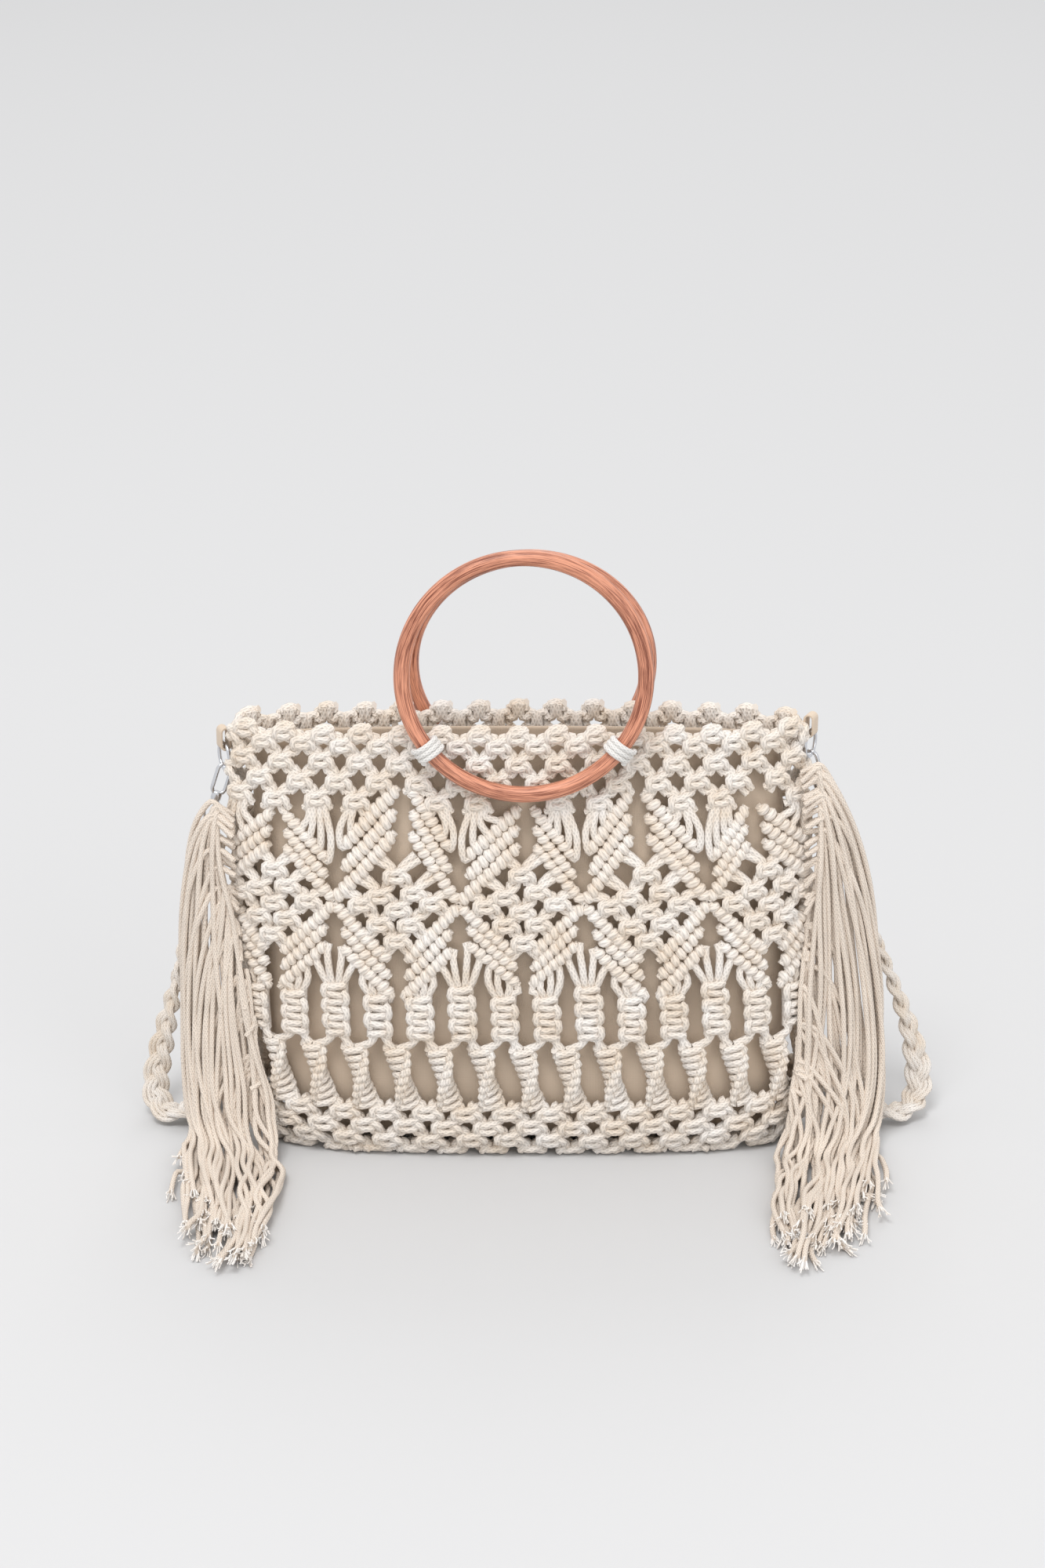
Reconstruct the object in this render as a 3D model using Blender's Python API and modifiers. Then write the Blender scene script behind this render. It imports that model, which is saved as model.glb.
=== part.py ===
"""Macrame handbag with a canvas lining, two round wooden handles, side fringes and a braided strap."""
import math

import bmesh
import bpy
from mathutils import Matrix, Vector

# Driving sizes, in metres.
BODY_WIDTH = 0.336
BODY_DEPTH = 0.088
BODY_HEIGHT = 0.257
NET_THICKNESS = 0.007
BASE_THICKNESS = 0.0057
BASE_MARGIN = 0.0026
BASE_SOFTENING = 0.0018
PIECE_GAP = 0.0004
SEAM_SET = 0.0031
LINING_THICKNESS = 0.0014
LINING_SLACK = 0.0003
RING_OUTER_DIAMETER = 0.1490
RING_TUBE_DIAMETER = 0.0094
FRONT_RING_LEAN = math.radians(4.0)
BACK_RING_LEAN = math.radians(10.0)
FRONT_RING_SIDE = 0.0015
BACK_RING_SIDE = 0.0050
FRONT_TIE_HEIGHT = 0.9942 * BODY_HEIGHT
BACK_TIE_HEIGHT = 0.953 * BODY_HEIGHT
TIE_SPREAD = 0.785
TIE_ACROSS = 0.28
WRAP_LENGTH = 0.0135
WRAP_THICKNESS = 0.0034
WRAP_GROOVE = 0.0012
WRAP_SEGMENTS = 10
FRINGE_THICKNESS = 0.009
FRINGE_OUT = 0.045
FRINGE_REACH = 0.170
FLOOR_CLEARANCE = 0.0008
LOCKS = 8
STRAP_DIAMETER = 0.013
STRAP_OUT = 0.060
CHROME_WIRE = 0.0024
TAB_SEAT = 0.0016
FRINGE_SEAT = 0.0009
EYE_DROP = 0.0340
HOOK_SWING = math.radians(20.0)
CHROME_RING_RADIUS = 0.0085
TAB_WIDTH = 0.008
TAB_CLOTH = 0.0012
TAB_HALF_HEIGHT = 0.0072
HOOK_HALF_WIDTH = 0.0042
HOOK_HALF_HEIGHT = 0.0095
BARREL_RADIUS = 0.0031
BARREL_LENGTH = 0.009
BARREL_DROP = 0.0028
EYE_HALF_WIDTH = 0.0048
EYE_HALF_HEIGHT = 0.0054
HOOK_EYE_DROP = 0.0105
STRAP_END = 0.007
HOOK_TURN = math.radians(25.0)
COLUMNS = 15
SIDE_INSET = 1.9

HALF_WIDTH = BODY_WIDTH / 2.0
HALF_DEPTH = BODY_DEPTH / 2.0
RING_RADIUS = (RING_OUTER_DIAMETER - RING_TUBE_DIAMETER) / 2.0
WRAP_SAG = WRAP_LENGTH ** 2 / (8.0 * RING_RADIUS)
WRAP_BORE = (RING_TUBE_DIAMETER / 2.0 + PIECE_GAP + WRAP_SAG) / math.cos(math.pi / WRAP_SEGMENTS)
RING_OFFSET = NET_THICKNESS / 2.0 + WRAP_BORE + WRAP_THICKNESS + 1.2 * PIECE_GAP
PITCH = 2.0 / COLUMNS

# Body sections: height as a share of body height, then half width and half depth
# as shares of the named sizes, squareness of the outline, and sideways shift of the axis.
SECTIONS = (
    (0.00, 0.925, 0.790, 3.0, 0.036),
    (0.05, 0.965, 0.960, 3.0, 0.034),
    (0.12, 0.985, 1.000, 2.9, 0.030),
    (0.30, 0.995, 1.000, 2.8, 0.020),
    (0.55, 1.000, 0.890, 2.7, 0.005),
    (0.80, 1.000, 0.670, 2.5, -0.008),
    (0.95, 0.985, 0.500, 2.3, -0.012),
    (1.06, 0.965, 0.430, 2.3, -0.012),
)

# Rows of the knotted panel from the top edge down: height as a share of body height,
# half width of the gap columns, half width of the lens columns, half width of the eye
# columns and slant, all three as shares of the column pitch, and what is open below.
ROWS = (
    (1.004, 0.13, 0.30, 0.13, 0.00, ""),
    (0.998, 0.20, 0.30, 0.20, 0.00, ""),
    (0.956, 0.12, 0.38, 0.12, 0.00, "gap"),
    (0.920, 0.12, 0.38, 0.12, 0.00, ""),
    (0.850, 0.20, 0.30, 0.07, 0.00, "eye"),
    (0.800, 0.20, 0.14, 0.20, 0.00, "eye lens"),
    (0.740, 0.20, 0.30, 0.14, 0.00, "lens"),
    (0.672, 0.20, 0.12, 0.20, 0.00, ""),
    (0.604, 0.20, 0.12, 0.20, 0.00, "lens"),
    (0.522, 0.20, 0.30, 0.20, 0.00, "lens"),
    (0.447, 0.20, 0.14, 0.20, 0.00, ""),
    (0.412, 0.16, 0.34, 0.16, 0.00, "gap"),
    (0.348, 0.22, 0.28, 0.22, 0.00, "gap"),
    (0.284, 0.18, 0.32, 0.18, 0.00, ""),
    (0.240, 0.30, 0.20, 0.30, -0.10, "bar"),
    (0.178, 0.24, 0.26, 0.24, 0.00, "bar"),
    (0.121, 0.31, 0.19, 0.31, 0.10, ""),
    (0.068, 0.25, 0.25, 0.25, 0.00, ""),
    (0.0335, 0.25, 0.25, 0.25, 0.00, ""),
)
PICOT_SHARE = 0.040
LENS_COLUMNS = (-5, -2, 1, 4)
EYE_COLUMNS = (-6, -3, 0, 3, 6)

# Fringe guides from the seam to the tips: distance out from the body's side as a share
# of FRINGE_OUT, distance back as a share of FRINGE_REACH, height as a share of body height.
INNER_GUIDE = (
    (0.12, -0.100, 0.830),
    (0.10, -0.110, 0.700),
    (-0.06, -0.120, 0.520),
    (-0.20, -0.170, 0.330),
    (-0.32, -0.215, 0.150),
    (-0.36, -0.300, 0.040),
    (-0.42, -0.440, 0.022),
    (-0.50, -0.660, 0.022),
    (-0.58, -0.920, 0.022),
)
MIDDLE_GUIDE = (
    (0.20, -0.080, 0.865),
    (0.46, -0.085, 0.780),
    (0.66, -0.085, 0.600),
    (0.78, -0.080, 0.380),
    (0.78, -0.130, 0.170),
    (0.66, -0.230, 0.042),
    (0.48, -0.460, 0.022),
    (0.26, -0.760, 0.022),
    (0.06, -1.080, 0.022),
)
OUTER_GUIDE = (
    (0.22, -0.050, 0.830),
    (0.44, -0.045, 0.740),
    (0.66, -0.010, 0.540),
    (0.80, 0.010, 0.330),
    (0.88, -0.010, 0.180),
    (0.93, -0.085, 0.075),
    (0.99, -0.190, 0.030),
    (1.06, -0.360, 0.022),
    (1.12, -0.620, 0.022),
)
SLIT_ROW = 5
FRINGE_ROWS = 12

# Each side: name, sign of x, lift of the fringe head as a share of body height,
# distance back of the tab, height of the chrome ring's centre as a share of body height.
SIDES = (
    ("left", -1.0, 0.00, 0.006, 0.925),
    ("right", 1.0, 0.10, 0.007, 0.955),
)
# Shifts of each fringe out from the body as shares of FRINGE_OUT: half way, and at the inner tips.
LEFT_FRINGE_SHIFT = (-0.24, 0.42)
RIGHT_FRINGE_SHIFT = (-0.04, 0.02)

# Strap route from the left hook round the back to the right hook: distance out from the
# body's side as a share of STRAP_OUT, distance back as a share of body depth, height as
# a share of body height; the middle rows hold the sideways place as a share of half width.
STRAP_LEFT = (
    (0.200, 0.165, 0.690),
    (0.300, 0.290, 0.620),
    (0.500, 0.400, 0.480),
    (0.720, 0.430, 0.310),
    (0.930, 0.360, 0.155),
    (1.060, 0.225, 0.060),
    (1.010, 0.060, 0.0285),
    (0.820, 0.020, 0.0285),
    (0.600, 0.190, 0.0285),
    (0.370, 0.470, 0.0285),
)
STRAP_BACK = (
    (-0.930, 0.720, 0.0285),
    (-0.600, 0.860, 0.0285),
    (-0.200, 0.900, 0.0285),
    (0.200, 0.880, 0.0285),
    (0.600, 0.840, 0.0285),
    (0.930, 0.720, 0.0285),
)
STRAP_RIGHT = (
    (0.370, 0.470, 0.0285),
    (0.600, 0.190, 0.0285),
    (0.830, 0.040, 0.0285),
    (1.080, 0.060, 0.0285),
    (1.190, 0.230, 0.060),
    (1.100, 0.340, 0.160),
    (0.880, 0.400, 0.310),
    (0.600, 0.400, 0.480),
    (0.330, 0.340, 0.620),
    (0.200, 0.200, 0.710),
)
STRAP_POINTS = 60


def clear_scene():
    """Take every object out of the scene."""
    for item in list(bpy.data.objects):
        bpy.data.objects.remove(item, do_unlink=True)


def make_collection(name):
    """Make a collection in the scene."""
    collection = bpy.data.collections.new(name)
    bpy.context.scene.collection.children.link(collection)
    return collection


def make_material(name, colour, roughness, metallic):
    """Make a plain surface with a colour, a roughness and a metal share."""
    material = bpy.data.materials.new(name)
    material.use_nodes = True
    shader = material.node_tree.nodes["Principled BSDF"]
    shader.inputs["Base Color"].default_value = (*colour, 1.0)
    shader.inputs["Roughness"].default_value = roughness
    shader.inputs["Metallic"].default_value = metallic
    return material


def net_cotton():
    """Twisted off-white cotton of the knotted body."""
    return make_material("net_cotton", (0.80, 0.72, 0.61), 0.88, 0.0)


def wrap_cotton():
    """Whiter cotton of the turns round the handles."""
    return make_material("wrap_cotton", (0.86, 0.83, 0.77), 0.86, 0.0)


def fringe_cotton():
    """Slightly warmer cotton of the fringe."""
    return make_material("fringe_cotton", (0.84, 0.75, 0.62), 0.88, 0.0)


def strap_cotton():
    """Braided cotton of the strap."""
    return make_material("strap_cotton", (0.78, 0.69, 0.57), 0.88, 0.0)


def lining_canvas():
    """Beige woven canvas."""
    return make_material("lining_canvas", (0.60, 0.52, 0.42), 0.9, 0.0)


def handle_wood():
    """Reddish-brown wood with a satin finish."""
    return make_material("handle_wood", (0.48, 0.20, 0.11), 0.42, 0.0)


def polished_chrome():
    """Bright chromed wire."""
    return make_material("polished_chrome", (0.72, 0.73, 0.75), 0.14, 1.0)


def add_object(name, data, collection, material):
    """Put named mesh data in a collection with one material."""
    item = bpy.data.objects.new(name, data)
    collection.objects.link(item)
    data.materials.clear()
    data.materials.append(material)
    return item


def mesh_from(name, shape):
    """Turn a bmesh into mesh data."""
    bmesh.ops.recalc_face_normals(shape, faces=shape.faces)
    data = bpy.data.meshes.new(name)
    shape.to_mesh(data)
    shape.free()
    return data


def shade_smooth(data):
    """Shade every face of the mesh smoothly."""
    for face in data.polygons:
        face.use_smooth = True


def smooth_row(table, key):
    """Read a table of numbers at a key in its first column, as a smooth curve."""
    count = len(table)
    key = min(max(key, table[0][0]), table[-1][0])
    index = 0
    while index < count - 2 and key > table[index + 1][0]:
        index += 1
    low = table[index]
    high = table[index + 1]
    before = table[max(index - 1, 0)]
    after = table[min(index + 2, count - 1)]
    span = high[0] - low[0]
    share = (key - low[0]) / span
    values = []
    for column in range(1, len(low)):
        slope_low = (high[column] - before[column]) / (high[0] - before[0]) * span
        slope_high = (after[column] - low[column]) / (after[0] - low[0]) * span
        a = 2.0 * share ** 3 - 3.0 * share ** 2 + 1.0
        b = share ** 3 - 2.0 * share ** 2 + share
        c = -2.0 * share ** 3 + 3.0 * share ** 2
        d = share ** 3 - share ** 2
        values.append(a * low[column] + b * slope_low + c * high[column] + d * slope_high)
    return values


def smooth_route(points, share):
    """Read a list of route points at a share of its length, as a smooth curve."""
    place = min(max(share, 0.0), 1.0) * (len(points) - 1)
    index = min(int(place), len(points) - 2)
    t = place - index
    low = Vector(points[index])
    high = Vector(points[index + 1])
    before = Vector(points[max(index - 1, 0)])
    after = Vector(points[min(index + 2, len(points) - 1)])
    slope_low = (high - before) * 0.5
    slope_high = (after - low) * 0.5
    a = 2.0 * t ** 3 - 3.0 * t ** 2 + 1.0
    b = t ** 3 - 2.0 * t ** 2 + t
    c = -2.0 * t ** 3 + 3.0 * t ** 2
    d = t ** 3 - t ** 2
    return low * a + slope_low * b + high * c + slope_high * d


def outline_quarter(half_width, half_depth, squareness, steps=48):
    """Points of a quarter outline from the middle of the front to the side seam."""
    points = []
    for step in range(steps + 1):
        turn = step / steps * math.pi / 2.0
        x = half_width * math.sin(turn) ** (2.0 / squareness)
        y = half_depth * math.cos(turn) ** (2.0 / squareness)
        points.append((x, y))
    return points


def body_point(across, share, inset=0.0):
    """Point of the front panel at a share across from the middle, -1 to 1, and a height share."""
    width, depth, squareness, shift = smooth_row(SECTIONS, share)
    side_inset = inset * (SIDE_INSET if inset > 0.0 else 1.0)
    points = outline_quarter(width * HALF_WIDTH - side_inset, depth * HALF_DEPTH - inset, squareness)
    lengths = [0.0]
    for first, second in zip(points, points[1:]):
        lengths.append(lengths[-1] + math.dist(first, second))
    target = min(abs(across), 1.0) * lengths[-1]
    index = 0
    while index < len(lengths) - 2 and lengths[index + 1] < target:
        index += 1
    t = (target - lengths[index]) / (lengths[index + 1] - lengths[index])
    x = points[index][0] + (points[index + 1][0] - points[index][0]) * t
    y = points[index][1] + (points[index + 1][1] - points[index][1]) * t
    side = math.copysign(1.0, across)
    return Vector((side * x + shift * HALF_WIDTH, -y, share * BODY_HEIGHT))


def column_places():
    """Face columns of a panel from left to right: kind and column number of each."""
    places = []
    for number in range(-7, 8):
        places.append(("bar", number - 1))
        places.append(("gap", number))
    places.append(("bar", 7))
    return places


def line_place(line, row):
    """Place across the panel of one upright grid line in one row."""
    half_gap, half_lens, half_eye, slant = row[1:5]
    if line == 0:
        return -1.0
    if line == 2 * COLUMNS + 1:
        return 1.0
    number = (line - 1) // 2 - 7
    right = line % 2 == 0
    half = half_eye if number in EYE_COLUMNS else half_gap
    place = number + half if right else number - half
    if right and number in LENS_COLUMNS:
        place = number + 0.5 - half_lens
    if not right and number - 1 in LENS_COLUMNS:
        place = number - 0.5 + half_lens
    return (place + slant) * PITCH


def is_open(kind, number, opening):
    """Whether a face of the panel is left open in a row."""
    if kind == "gap" and "gap" in opening:
        return True
    if kind == "gap" and "eye" in opening and number in EYE_COLUMNS:
        return True
    if kind == "bar" and "lens" in opening and number in LENS_COLUMNS:
        return True
    return kind == "bar" and "bar" in opening and -8 < number < 7


def build_net(name, facing, collection, material):
    """Knotted panel: a pierced wall following the body, thickened to the cord's depth."""
    shape = bmesh.new()
    lines = 2 * COLUMNS + 1
    levels = len(ROWS) - 1
    bmesh.ops.create_grid(shape, x_segments=lines, y_segments=levels, size=1.0)
    places = column_places()
    opened = []
    for face in shape.faces:
        centre = face.calc_center_median()
        column = int((centre.x + 1.0) / 2.0 * lines)
        level = int((1.0 - centre.y) / 2.0 * levels)
        kind, number = places[column]
        if is_open(kind, number, ROWS[level][5]) or (level == 0 and kind == "bar"):
            opened.append(face)
    for vertex in shape.verts:
        line = round((vertex.co.x + 1.0) / 2.0 * lines)
        level = round((1.0 - vertex.co.y) / 2.0 * levels)
        row = ROWS[level]
        share = row[0]
        if level == 0 and 0 < line < lines:
            share += PICOT_SHARE
        across = line_place(line, row)
        point = body_point(across, share)
        if line in (0, lines):
            point.y = -SEAM_SET
        vertex.co = Vector((point.x, point.y * facing, point.z))
    bmesh.ops.delete(shape, geom=opened, context="FACES")
    data = mesh_from(name, shape)
    item = add_object(name, data, collection, material)
    wall = item.modifiers.new("wall", "SOLIDIFY")
    wall.thickness = NET_THICKNESS
    wall.offset = 0.0
    wall.use_even_offset = True
    return item


def outline_ring(inset, share, segments):
    """Closed outline of the body at a height, as a list of points."""
    points = []
    for step in range(segments):
        place = 4.0 * step / segments
        quarter = int(place)
        t = place - quarter
        across = (t, 1.0 - t, -t, t - 1.0)[quarter]
        facing = (1.0, -1.0, -1.0, 1.0)[quarter]
        point = body_point(across if across else 1e-9, share, inset)
        points.append(Vector((point.x, point.y * facing, point.z)))
    return points


def build_base(collection, material):
    """Flat knotted bottom with a softened lower edge."""
    shape = bmesh.new()
    segments = 36
    bmesh.ops.create_cone(shape, cap_ends=True, segments=segments, radius1=1.0, radius2=1.0, depth=1.0)
    points = outline_ring(-BASE_MARGIN, ROWS[-1][0], segments)
    for vertex in shape.verts:
        turn = math.atan2(vertex.co.y, vertex.co.x)
        step = round((turn + math.pi / 2.0) / (2.0 * math.pi) * segments) % segments
        height = BASE_THICKNESS if vertex.co.z > 0.0 else 0.0
        vertex.co = Vector((points[step].x, points[step].y, height))
    low = [edge for edge in shape.edges if all(v.co.z < 1e-6 for v in edge.verts)]
    bmesh.ops.bevel(shape, geom=low, offset=BASE_SOFTENING, offset_type="OFFSET", segments=1, profile=0.5,
                    affect="EDGES", material=-1)
    return add_object("base_net", mesh_from("base_net", shape), collection, material)


def build_lining(collection, material):
    """Open canvas pouch inside the knotted panels."""
    inset = NET_THICKNESS / 2.0 + PIECE_GAP + LINING_THICKNESS / 2.0 + LINING_SLACK
    floor = (BASE_THICKNESS + PIECE_GAP + LINING_THICKNESS / 2.0) / BODY_HEIGHT
    levels = ((floor, 2.2), (0.060, 1.75), (0.120, 1.35), (0.30, 1.15), (0.55, 1.2), (0.80, 1.3), (0.985, 1.28))
    segments = 32
    shape = bmesh.new()
    loops = []
    for share, deeper in levels:
        ring = bmesh.ops.create_circle(shape, cap_ends=False, segments=segments, radius=1.0)["verts"]
        points = outline_ring(inset * deeper, share, segments)
        for vertex in ring:
            turn = math.atan2(vertex.co.y, vertex.co.x)
            step = round((turn + math.pi / 2.0) / (2.0 * math.pi) * segments) % segments
            vertex.co = points[step]
        loops.append(ring)
    edges = []
    for ring in loops:
        members = set(ring)
        edges.append([e for e in shape.edges if e.verts[0] in members and e.verts[1] in members])
    for low, high in zip(edges, edges[1:]):
        bmesh.ops.bridge_loops(shape, edges=low + high)
    floor_face = bmesh.ops.contextual_create(shape, geom=edges[0])["faces"]
    bmesh.ops.poke(shape, faces=floor_face)
    item = add_object("lining", mesh_from("lining", shape), collection, material)
    wall = item.modifiers.new("wall", "SOLIDIFY")
    wall.thickness = LINING_THICKNESS
    wall.offset = 0.0
    return item


def ring_centre(side_place, facing, lean):
    """Centre of a handle ring whose tie stands off its panel, and the turn of its plane."""
    tie_height = FRONT_TIE_HEIGHT if facing > 0.0 else BACK_TIE_HEIGHT
    tie = body_point(TIE_ACROSS, tie_height / BODY_HEIGHT)
    tie_out = -tie.y + RING_OFFSET
    drop = RING_RADIUS * math.sqrt(1.0 - TIE_SPREAD ** 2)
    centre_y = -facing * tie_out + drop * math.sin(lean) * facing
    centre_z = tie_height + drop * math.cos(lean)
    return Vector((side_place, centre_y, centre_z)), -facing * lean


def build_ring(name, side_place, facing, lean, collection, material):
    """Round wooden handle."""
    bpy.ops.mesh.primitive_torus_add(
        major_segments=28, minor_segments=8,
        major_radius=RING_RADIUS, minor_radius=RING_TUBE_DIAMETER / 2.0,
        location=(0.0, 0.0, 0.0))
    item = bpy.context.active_object
    item.name = name
    item.data.name = name
    for holder in list(item.users_collection):
        holder.objects.unlink(item)
    collection.objects.link(item)
    item.data.materials.append(material)
    shade_smooth(item.data)
    centre, turn = ring_centre(side_place, facing, lean)
    item.matrix_world = Matrix.Translation(centre) @ Matrix.Rotation(math.pi / 2.0 + turn, 4, "X")
    return item


def build_wrap(name, side_place, facing, lean, side, collection, material):
    """Three cord turns round a handle, as one sleeve."""
    inner = WRAP_BORE
    outer = inner + WRAP_THICKNESS
    half = WRAP_LENGTH / 2.0
    profile = (
        (-half, inner), (half, inner), (half, outer - WRAP_GROOVE), (half * 0.66, outer),
        (half * 0.33, outer - WRAP_GROOVE), (0.0, outer), (-half * 0.33, outer - WRAP_GROOVE),
        (-half * 0.66, outer), (-half, outer - WRAP_GROOVE))
    shape = bmesh.new()
    ring = bmesh.ops.create_circle(shape, cap_ends=False, segments=len(profile), radius=1.0)["verts"]
    for vertex, (along, out) in zip(ring, profile):
        vertex.co = Vector((along, 0.0, out))
    bmesh.ops.spin(shape, geom=list(shape.edges), cent=(0.0, 0.0, 0.0), axis=(1.0, 0.0, 0.0),
                   dvec=(0.0, 0.0, 0.0), angle=2.0 * math.pi, steps=WRAP_SEGMENTS, use_merge=True)
    bmesh.ops.remove_doubles(shape, verts=shape.verts, dist=0.00001)
    item = add_object(name, mesh_from(name, shape), collection, material)
    centre, turn = ring_centre(side_place, facing, lean)
    angle = -math.pi / 2.0 + side * math.asin(TIE_SPREAD)
    plane = Matrix.Translation(centre) @ Matrix.Rotation(turn, 4, "X")
    spot = Matrix.Translation((RING_RADIUS * math.cos(angle), 0.0, RING_RADIUS * math.sin(angle)))
    item.matrix_world = plane @ spot @ Matrix.Rotation(math.pi / 2.0 - angle, 4, "Y")
    return item


def fringe_point(across, along, sign, lift):
    """Point of a fringe sheet between its three guides."""
    places = []
    half_way, tips = LEFT_FRINGE_SHIFT if sign < 0.0 else RIGHT_FRINGE_SHIFT
    swell = math.sin(math.pi * min(max(along / 0.8, 0.0), 1.0)) ** 2
    ending = min(max((along - 0.55) / 0.45, 0.0), 1.0) ** 2
    for guide, far, near in ((INNER_GUIDE, 0.0, 1.0), (MIDDLE_GUIDE, 0.6, 0.8), (OUTER_GUIDE, 1.0, 0.0)):
        out, back, share = smooth_route(guide, along)
        out += half_way * swell * far + tips * ending * near
        raised = share + lift * max(0.0, 1.0 - along * 3.2)
        seam = smooth_row(SECTIONS, raised)
        x = sign * (seam[0] * HALF_WIDTH + NET_THICKNESS / 2.0 + out * FRINGE_OUT - FRINGE_SEAT)
        floor = FRINGE_THICKNESS / 2.0 + FLOOR_CLEARANCE
        z = max(raised * BODY_HEIGHT, floor)
        places.append(Vector((x + seam[3] * HALF_WIDTH, back * FRINGE_REACH, z)))
    first = (1.0 - across) * (1.0 - 2.0 * across)
    second = 4.0 * across * (1.0 - across)
    third = across * (2.0 * across - 1.0)
    return places[0] * first + places[1] * second + places[2] * third


def build_fringe(name, sign, lift, collection, material):
    """Fringe: a sheet of cords split into hanging locks, thickened."""
    shape = bmesh.new()
    lines = 2 * LOCKS - 1
    bmesh.ops.create_grid(shape, x_segments=lines, y_segments=FRINGE_ROWS, size=1.0)
    opened = []
    for face in shape.faces:
        centre = face.calc_center_median()
        column = int((centre.x + 1.0) / 2.0 * lines)
        level = int((1.0 - centre.y) / 2.0 * FRINGE_ROWS)
        if column % 2 == 1 and level >= SLIT_ROW:
            opened.append(face)
    for vertex in shape.verts:
        line = round((vertex.co.x + 1.0) / 2.0 * lines)
        level = round((1.0 - vertex.co.y) / 2.0 * FRINGE_ROWS)
        lock = line // 2
        narrow = 0.16 if level > SLIT_ROW else 0.02
        inside = 0.5 + (line % 2 - 0.5) * (1.0 - narrow) if level >= SLIT_ROW else line % 2
        across = (lock + 0.12 + 0.76 * inside) / LOCKS
        along = level / FRINGE_ROWS
        if level == FRINGE_ROWS:
            along -= (0.0, 0.035, 0.012, 0.045)[lock % 4]
        vertex.co = fringe_point(across, along, sign, lift)
    bmesh.ops.delete(shape, geom=opened, context="FACES")
    item = add_object(name, mesh_from(name, shape), collection, material)
    wall = item.modifiers.new("wall", "SOLIDIFY")
    wall.thickness = FRINGE_THICKNESS
    wall.offset = 0.0
    return item


def tube_mesh(name, points, radius, closed, collection, resolution=1):
    """Round wire along points, as mesh data with filled caps."""
    curve = bpy.data.curves.new(name, "CURVE")
    curve.dimensions = "3D"
    curve.bevel_depth = radius
    curve.bevel_resolution = resolution
    curve.use_fill_caps = True
    spline = curve.splines.new("POLY")
    spline.points.add(len(points) - 1)
    for place, point in zip(spline.points, points):
        place.co = (point[0], point[1], point[2], 1.0)
    spline.use_cyclic_u = closed
    holder = bpy.data.objects.new(name + "_wire", curve)
    collection.objects.link(holder)
    bpy.context.view_layer.update()
    graph = bpy.context.evaluated_depsgraph_get()
    data = bpy.data.meshes.new_from_object(holder.evaluated_get(graph))
    bpy.data.objects.remove(holder, do_unlink=True)
    shape = bmesh.new()
    shape.from_mesh(data)
    bmesh.ops.remove_doubles(shape, verts=shape.verts, dist=0.00001)
    bpy.data.meshes.remove(data)
    return mesh_from(name, shape)


def seam_out(share, sign):
    """Outer face of the side seam at a height share."""
    seam = smooth_row(SECTIONS, share)
    return sign * (seam[0] * HALF_WIDTH + NET_THICKNESS / 2.0) + seam[3] * HALF_WIDTH


def hardware_frame(sign, back, ring_share):
    """Place and turn of the tab, chrome ring and hook at one side."""
    lean_out = TAB_WIDTH / 2.0 * math.sin(HOOK_TURN)
    half_tab = CHROME_WIRE / 2.0 + 2.0 * PIECE_GAP + TAB_CLOTH
    top = ring_share + CHROME_RING_RADIUS / BODY_HEIGHT
    x = seam_out(top, sign) + sign * (lean_out + half_tab - TAB_SEAT)
    place = Vector((x, back, ring_share * BODY_HEIGHT))
    return Matrix.Translation(place) @ Matrix.Rotation(-sign * HOOK_TURN, 4, "Z")


def hook_frame(sign, frame):
    """Place and turn of a snap hook swung outwards about the bottom of its ring."""
    pivot = Matrix.Translation((0.0, 0.0, -CHROME_RING_RADIUS))
    back = Matrix.Translation((0.0, 0.0, CHROME_RING_RADIUS))
    return frame @ pivot @ Matrix.Rotation(-sign * HOOK_SWING, 4, "Y") @ back


def stadium(half_width, half_height, steps):
    """Points of an upright slot outline with round ends, in the plane of x and z."""
    points = []
    for end in (1.0, -1.0):
        for step in range(steps + 1):
            turn = step / steps * math.pi
            x = half_width * math.cos(turn) * end
            z = (half_height - half_width + half_width * math.sin(turn)) * end
            points.append((x, 0.0, z))
    return points


def build_tab(name, frame, collection, material):
    """Canvas loop that holds the chrome ring."""
    hole = CHROME_WIRE / 2.0 + 2.0 * PIECE_GAP
    curve = bpy.data.curves.new(name, "CURVE")
    curve.dimensions = "2D"
    curve.fill_mode = "BOTH"
    curve.extrude = TAB_WIDTH / 2.0
    for grow in (TAB_CLOTH, 0.0):
        points = stadium(hole + grow, TAB_HALF_HEIGHT - TAB_CLOTH + grow, 5)
        spline = curve.splines.new("POLY")
        spline.points.add(len(points) - 1)
        for spot, point in zip(spline.points, points):
            spot.co = (point[0], point[2], 0.0, 1.0)
        spline.use_cyclic_u = True
    holder = bpy.data.objects.new(name + "_outline", curve)
    collection.objects.link(holder)
    bpy.context.view_layer.update()
    graph = bpy.context.evaluated_depsgraph_get()
    data = bpy.data.meshes.new_from_object(holder.evaluated_get(graph))
    bpy.data.objects.remove(holder, do_unlink=True)
    shape = bmesh.new()
    shape.from_mesh(data)
    bpy.data.meshes.remove(data)
    bmesh.ops.remove_doubles(shape, verts=shape.verts, dist=0.00001)
    item = add_object(name, mesh_from(name, shape), collection, material)
    sag = CHROME_RING_RADIUS - math.sqrt(CHROME_RING_RADIUS ** 2 - (TAB_WIDTH / 2.0) ** 2)
    rise = CHROME_RING_RADIUS - sag + TAB_HALF_HEIGHT - TAB_CLOTH - hole - PIECE_GAP
    item.matrix_world = frame @ Matrix.Translation((0.0, 0.0, rise)) @ Matrix.Rotation(math.pi / 2.0, 4, "X")
    return item


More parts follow.
